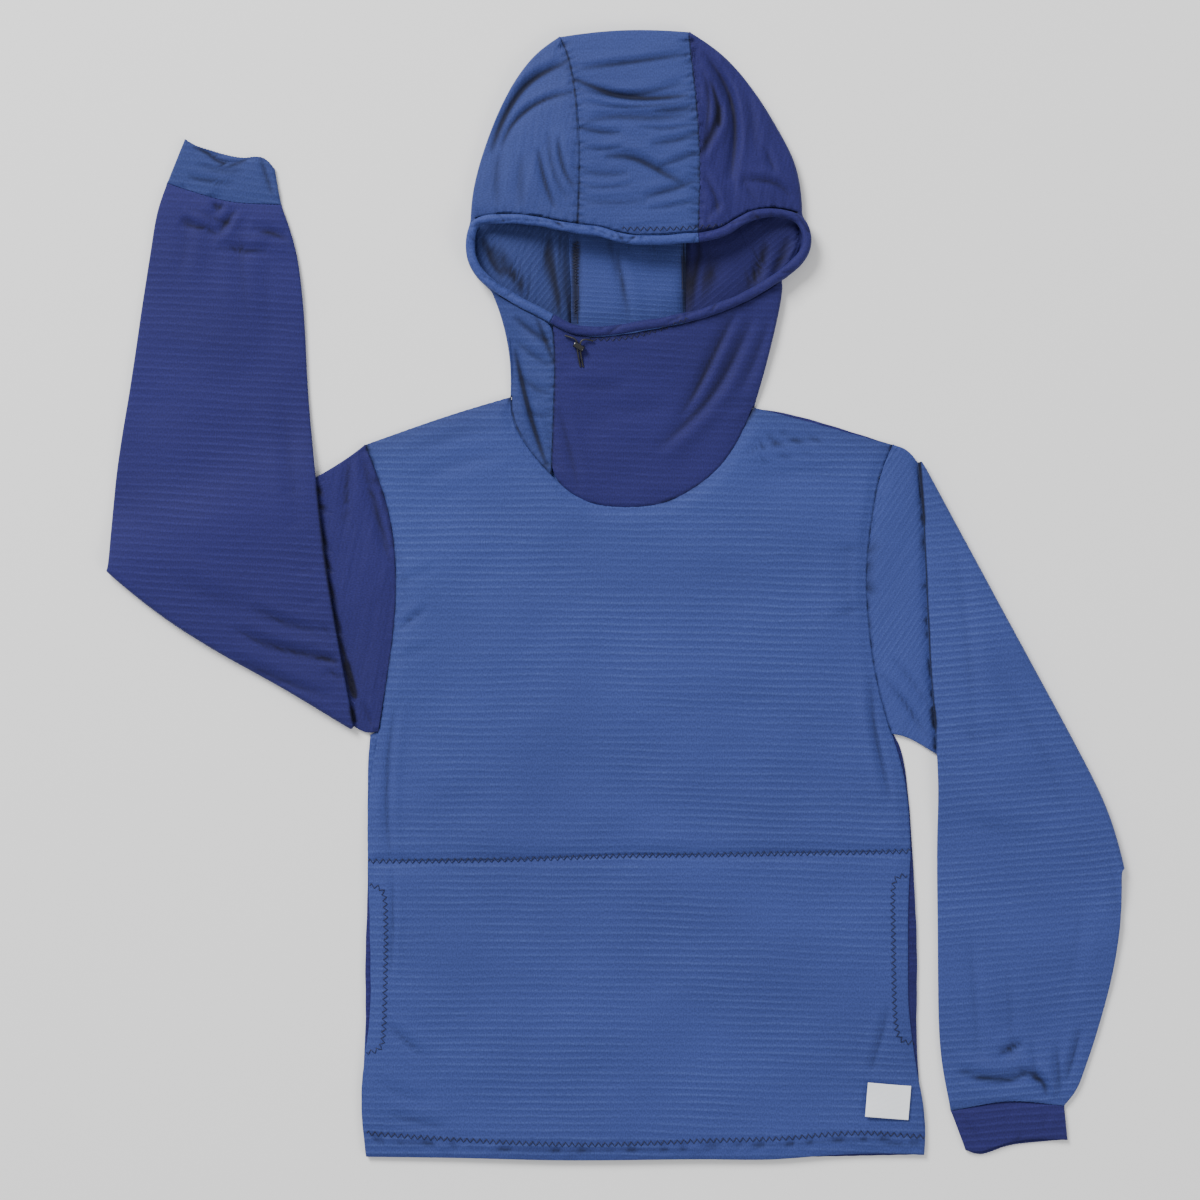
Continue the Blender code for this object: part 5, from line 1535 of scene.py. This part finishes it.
@dataclass
class Hood:
    """The hood's three panels and the casing round the face opening."""

    wardrobe: Wardrobe
    neck_below: float = 300.0
    crown_plainness: float = 0.85
    neck_plainness: float = 0.4
    inner_fineness: float = 1.45
    inner_slants: tuple[float, float] = (52.0, 40.0)     # ribs inside, on the left and on the right
    crown_angle: float = 82.0
    neck_angle: float = -2.0
    centre_angles: tuple[float, float] = (2.0, -3.0)     # ribs outside and inside
    casing_angle: float = 4.0
    casing_waves: tuple[tuple[float, float], ...] = ((0.35, 26.0), (0.2, 11.0))
    casing_sway: tuple[float, float] = (0.5, 30.0)       # height and wavelength, as above
    casing_sway_start: float = 40.0

    def build(self) -> list[bpy.types.Object]:
        """Build and dress the hood, and return its pieces.

        Returns:
            The cloth of the panels and of the casing.
        """
        casings = [
            self.casing("casing_left", LIGHT_BLUE),
            self.casing("casing_right", INDIGO),
        ]
        turned = {"sink": 4.0, "inner": self.inside, "inner_puff": 2.6, "plain": self.pulled_plain,
                  "wavelength": 60.0}
        panels = [
            Panel("hood_left", LIGHT_BLUE, (0.30, 0.40), 0.041, **turned, wave=0.6, base_shade=0.29,
                  inner_shade=0.1, grains=self.side_grain, creases=HOOD_LEFT_CREASES,
                  with_pieces=casings[:1], seams=HOOD_LEFT_SEAMS),
            Panel("hood_right", INDIGO, (0.38, 0.43), 0.068, **turned, wave=0.6, inner_shade=0.18,
                  grains=self.side_grain, creases=HOOD_RIGHT_CREASES, with_pieces=casings[1:],
                  swells=(Swell(-33, 221, 14, 14, -0.8),), seams=HOOD_RIGHT_SEAMS),
            Panel("hood_centre", LIGHT_BLUE, (0.13, 0.52), 0.057, **turned, wave=0.5, levels=4,
                  base_shade=0.27, inner_shade=-0.1, grains=self.centre_grain,
                  creases=HOOD_CENTRE_CREASES, seams=HOOD_CENTRE_SEAMS),
        ]
        return [panel.build(self.wardrobe) for panel in panels] + casings

    def casing(self, node: str, finish: KnitFinish) -> bpy.types.Object:
        """Build one arc of the casing, with the small wrinkles of a turned edge and painted shade in
        its folds.

        Args:
            node: The CAD node of the arc.
            finish: Its jersey.

        Returns:
            The arc.
        """
        piece = finer_copy(node, f"{node}_cloth", 3)
        points = read_points(piece.data)
        gathered, shade = seam_relief(points, CASING_SEAMS, np.zeros(len(points)))
        upward = np.clip([2.0 * vert.normal.z for vert in piece.data.vertices], 0.0, 1.0)
        points[:, 2] += sum(height * undulation(points, length) for height, length in self.casing_waves)
        points[:, 2] += gathered * upward
        height, length = self.casing_sway
        points[:, 1] += height * undulation(points + self.casing_sway_start, length)
        points[:, 2] = np.maximum(points[:, 2], 0.0)
        write_points(piece.data, points)
        # painted shade of the rim's folds and kinks, on upward faces only
        write_masks(piece.data, shade * upward, np.ones(len(points)))
        lay_grain(piece, straight_grain(self.casing_angle))
        dress(piece, finish, self.wardrobe, node)
        return piece

    def inside(self, points: np.ndarray) -> np.ndarray:
        """Return one for points that show through the face opening, and nought elsewhere."""
        return between(points, OPENING_BELOW, UPPER_RIM)

    def pulled_plain(self, points: np.ndarray) -> np.ndarray:
        """Say where the ribs are pulled out: nearly all of the crown, and less than half of the neck.

        Args:
            points: The points.

        Returns:
            One share for each point.
        """
        crown = points[:, 1] > self.neck_below
        outside = np.where(crown, self.crown_plainness, self.neck_plainness)
        return outside * (1.0 - self.inside(points))

    def side_grain(self, centres: np.ndarray) -> np.ndarray:
        """Ribs of a side panel: upright over the crown, level on the neck, slanting inside.

        Args:
            centres: The faces' centres.

        Returns:
            The angle, bow and fineness of each face.
        """
        inside = self.inside(centres) > 0.5
        crown = centres[:, 1] > self.neck_below
        slant = np.where(centres[:, 0] < 0, *self.inner_slants)
        outside = np.where(crown, self.crown_angle, self.neck_angle)
        angle = np.radians(np.where(inside, slant, outside))
        fineness = np.where(inside, self.inner_fineness, 1.0)
        return np.stack([angle, np.zeros(len(angle)), fineness], axis=1)

    def centre_grain(self, centres: np.ndarray) -> np.ndarray:
        """Ribs of the centre strip: level, and finer where they show inside."""
        return two_grains(self.inside(centres) > 0.5, self.centre_angles, self.inner_fineness)


# --- Sewing and small pieces ---


@dataclass(frozen=True)
class Stitches:
    """A line of machine stitches: a zigzag, or running stitches where it has no width."""

    name: str
    line: Line
    half_width: float = 2.1
    half_step: float = 2.95
    radius: float = 0.36
    rise: float = 0.42
    dip: float = -0.15


def thread_curve(name: str, places: Sequence[Sequence[float]], radius: float, sides: int,
                 caps: bool = False) -> bpy.types.Object:
    """Put a round thread in the scene.

    Args:
        name: Name of its object.
        places: The places that it runs through, in millimetres.
        radius: Its radius, in millimetres.
        sides: How finely its round is divided.
        caps: Whether its ends are closed.

    Returns:
        The thread.
    """
    thread = bpy.data.curves.new(name, "CURVE")
    thread.dimensions = "3D"
    thread.bevel_depth = radius * MM
    thread.bevel_resolution = sides
    thread.use_fill_caps = caps
    spline = thread.splines.new("POLY")
    spline.points.add(len(places) - 1)
    for point, place in zip(spline.points, places):
        point.co = (*(length * MM for length in place), 1.0)
    return link(name, thread)


@dataclass
class Sewing:
    """Threads and the label, which are laid over the finished cloth."""

    wardrobe: Wardrobe
    cloth: list[bpy.types.Object]
    lowest_cloth: float = 1.8                            # threads end where the front does
    label_follow: float = 0.65                           # how far the label follows the cloth
    label_clearance: float = 0.25
    label_angle: float = -5.0
    label_swells: tuple[Swell, ...] = (
        Swell(226, -466, 14, 12, 1.4), Swell(247, -452, 9, 30, 0.5),
    )
    swings: tuple[float, ...] = (0.0, 1.0, 0.0, -1.0)    # a zigzag's places across its line
    lines: tuple[Stitches, ...] = (
        Stitches("stitches_pocket_seam", POCKET_SEAM, radius=0.34, rise=0.75, dip=-0.55),
        Stitches("stitches_hem", HEM_STITCHES, radius=0.42),
        Stitches("stitches_mouth_left", (
            (-221, -261.5), (-210, -263), (-206, -272), (-206.5, -338), (-208, -394),
            (-210, -410), (-224, -411.5))),
        Stitches("stitches_mouth_right", (
            (262, -252.5), (254, -252.5), (248, -258), (249.8, -305), (249.8, -369),
            (252.5, -397), (259, -402.5), (269, -403))),
        Stitches("stitches_upper_rim", ((5.9, 326.3), (52, 326), (96.8, 329.5)), 1.9, 2.9),
        Stitches("stitches_lower_rim", (
            (-23, 229), (3, 227.5), (30, 234), (50, 240.5), (64.4, 246.2)), 1.7, 2.7),
        Stitches("overlock_left", INNER_SEAM_LEFT, 2.9, 1.5, 0.4),
        Stitches("overlock_right", INNER_SEAM_RIGHT, 2.9, 1.5, 0.4),
    )

    def build(self) -> None:
        """Sew every line, and lay the label on the cloth."""
        depsgraph = bpy.context.evaluated_depsgraph_get()
        trees = [BVHTree.FromObject(piece, depsgraph) for piece in self.cloth]
        for stitches in self.lines:
            self.sew(stitches, trees)
        self.label(trees)

    def label(self, trees: list[BVHTree]) -> None:
        """Lay the blank label on the front, whose creases it follows softly.

        Args:
            trees: The pieces of cloth to lie on.
        """
        label = finer_copy("label", "label_tape", 4)
        points = read_points(label.data)
        bottom = points[:, 2].min()
        ground = np.array([max(highest(tree, x, y) for tree in trees) for x, y, _ in points])
        ground = self.label_follow * ground + (1.0 - self.label_follow) * ground.max()
        points[:, 2] += ground + self.label_clearance - bottom
        points[:, 2] += swell_rise(points, self.label_swells)
        write_points(label.data, points)
        lay_grain(label, straight_grain(self.label_angle))
        dress(label, LABEL_TAPE, self.wardrobe, "label")

    def sew(self, stitches: Stitches, trees: list[BVHTree]) -> None:
        """Lay one line of stitches on the cloth.

        Args:
            stitches: The line.
            trees: The pieces of cloth to lie on.
        """
        line = smooth_line(stitches.line, stitches.half_step / 2)
        run = np.gradient(line, axis=0)
        run /= np.linalg.norm(run, axis=1)[:, None]
        places = []
        for number, ((x, y), (along_x, along_y)) in enumerate(zip(line, run)):
            swing = self.swings[number % len(self.swings)] * stitches.half_width
            lift = stitches.rise if number % 2 == 0 else -stitches.dip
            x, y = x - along_y * swing, y + along_x * swing
            height = max(highest(tree, x, y) for tree in trees)
            if height > self.lowest_cloth:
                places.append((x, y, height + lift))
        thread = thread_curve(f"{stitches.name}_thread", places, stitches.radius, 1)
        depsgraph = bpy.context.evaluated_depsgraph_get()
        mesh = bpy.data.meshes.new_from_object(thread.evaluated_get(depsgraph))
        bpy.data.objects.remove(thread)
        mesh.shade_smooth()
        dress(link(stitches.name, mesh), NAVY_THREAD, self.wardrobe)


Route = tuple[tuple[float, float, float], ...]


@dataclass
class Trim:
    """The drawcord's free ends and the cord lock, with routes as x, y and height over the neck."""

    wardrobe: Wardrobe
    cord_diameter: float = 1.6
    cord_length: float = 36.0
    cord_steps: int = 22
    left_route: Route = (
        (-45.5, 231.6, 2.2), (-41.0, 230.2, 2.6), (-36.6, 228.8, 3.4), (-34.3, 226.0, 3.7),
        (-34.2, 221.5, 3.7), (-34.0, 216.0, 3.6), (-32.6, 209.0, 1.6), (-31.4, 203.5, 1.4),
    )
    right_route: Route = (
        (-20.0, 226.6, 2.2), (-24.4, 227.8, 2.6), (-29.0, 228.2, 3.4), (-31.7, 226.0, 3.7),
        (-31.8, 221.5, 3.7), (-31.6, 216.0, 3.6), (-30.2, 209.0, 1.6), (-29.0, 203.5, 1.4),
    )

    def build(self) -> None:
        """Dress the small pieces."""
        self.cord("drawcord_left", self.left_route)
        self.cord("drawcord_right", self.right_route)
        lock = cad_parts["cord_lock"]
        lock.data.materials.clear()
        lock.data.materials.append(self.wardrobe.material(BLACK_PLASTIC))
        log.info("cord_lock in %s", BLACK_PLASTIC.name)

    def cord(self, node: str, route: Route) -> None:
        """Make one free end of the drawcord, on the neck's solid.

        Args:
            node: The CAD node that it replaces.
            route: Where it runs, with heights over the neck.
        """
        tree = BVHTree.FromObject(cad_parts["hood_right"], bpy.context.evaluated_depsgraph_get())
        knots = [(x, y, highest(tree, x, y) + z) for x, y, z in route]
        line = smooth_line(knots, self.cord_length / self.cord_steps)
        piece = thread_curve(f"{node}_braid", line, self.cord_diameter / 2, 3, caps=True)
        dress(piece, BLACK_CORD, self.wardrobe, node)


# --- Studio ---


@dataclass
class Studio:
    """Floor, lights and camera, in metres. Each lamp has a name, a place, a size and a power."""

    floor_size: float = 12.0
    floor_below: float = 0.0003
    camera_height: float = 3.0
    frame_width: float = 1.08
    frame_centre: tuple[float, float] = (-0.0140, -0.0050)
    sensor: float = 36.0
    sky_strength: float = 0.58
    lamps: tuple[tuple[str, tuple[float, float, float], float, float], ...] = (
        ("key", (-2.6, 3.4, 3.4), 2.2, 400.0),
        ("fill", (3.6, -3.0, 3.0), 2.4, 90.0),
    )

    def build(self) -> None:
        """Set up the stage."""
        self.floor()
        self.lights()
        self.camera()

    def floor(self) -> None:
        """Lay a plain pale floor under the garment."""
        shape = bmesh.new()
        bmesh.ops.create_grid(shape, x_segments=1, y_segments=1, size=self.floor_size / 2)
        mesh = bpy.data.meshes.new("floor")
        shape.to_mesh(mesh)
        shape.free()
        floor = link("floor", mesh)
        floor.location.z = -self.floor_below
        paint, graph, shader = new_material("pale_floor")
        graph.fill(shader, Base_Color=(0.9, 0.9, 0.9, 1.0), Roughness=0.9)
        mesh.materials.append(paint)

    def lights(self) -> None:
        """Hang a large soft light beyond the top left, a weaker one opposite, and an even sky."""
        world = bpy.data.worlds.new("studio")
        bpy.context.scene.world = world
        world.use_nodes = True
        Graph(world.node_tree).fill(world.node_tree.nodes["Background"], Color=(1.0, 1.0, 1.0, 1.0),
                                    Strength=self.sky_strength)
        for name, place, size, power in self.lamps:
            lamp = bpy.data.lights.new(name, "AREA")
            lamp.shape = "SQUARE"
            lamp.size = size
            lamp.energy = power
            holder = link(name, lamp)
            holder.location = place
            holder.rotation_euler = (-Vector(place)).to_track_quat("-Z", "Y").to_euler()

    def camera(self) -> None:
        """Put the camera straight above, on the photograph's framing."""
        lens = bpy.data.cameras.new("camera")
        lens.sensor_width = self.sensor
        lens.lens = self.sensor * self.camera_height / self.frame_width
        holder = link("camera", lens)
        holder.location = (*self.frame_centre, self.camera_height)
        bpy.context.scene.camera = holder


def main() -> None:
    """Build the hoodie and its studio."""
    logging.basicConfig(level=logging.INFO, format="%(name)s %(message)s")
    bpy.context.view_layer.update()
    wardrobe = Wardrobe()
    Studio().build()
    Trim(wardrobe).build()
    cloth = Body(wardrobe).build() + Sleeves(wardrobe).build() + Hood(wardrobe).build()
    Sewing(wardrobe, cloth).build()


if __name__ == "__main__":
    main()
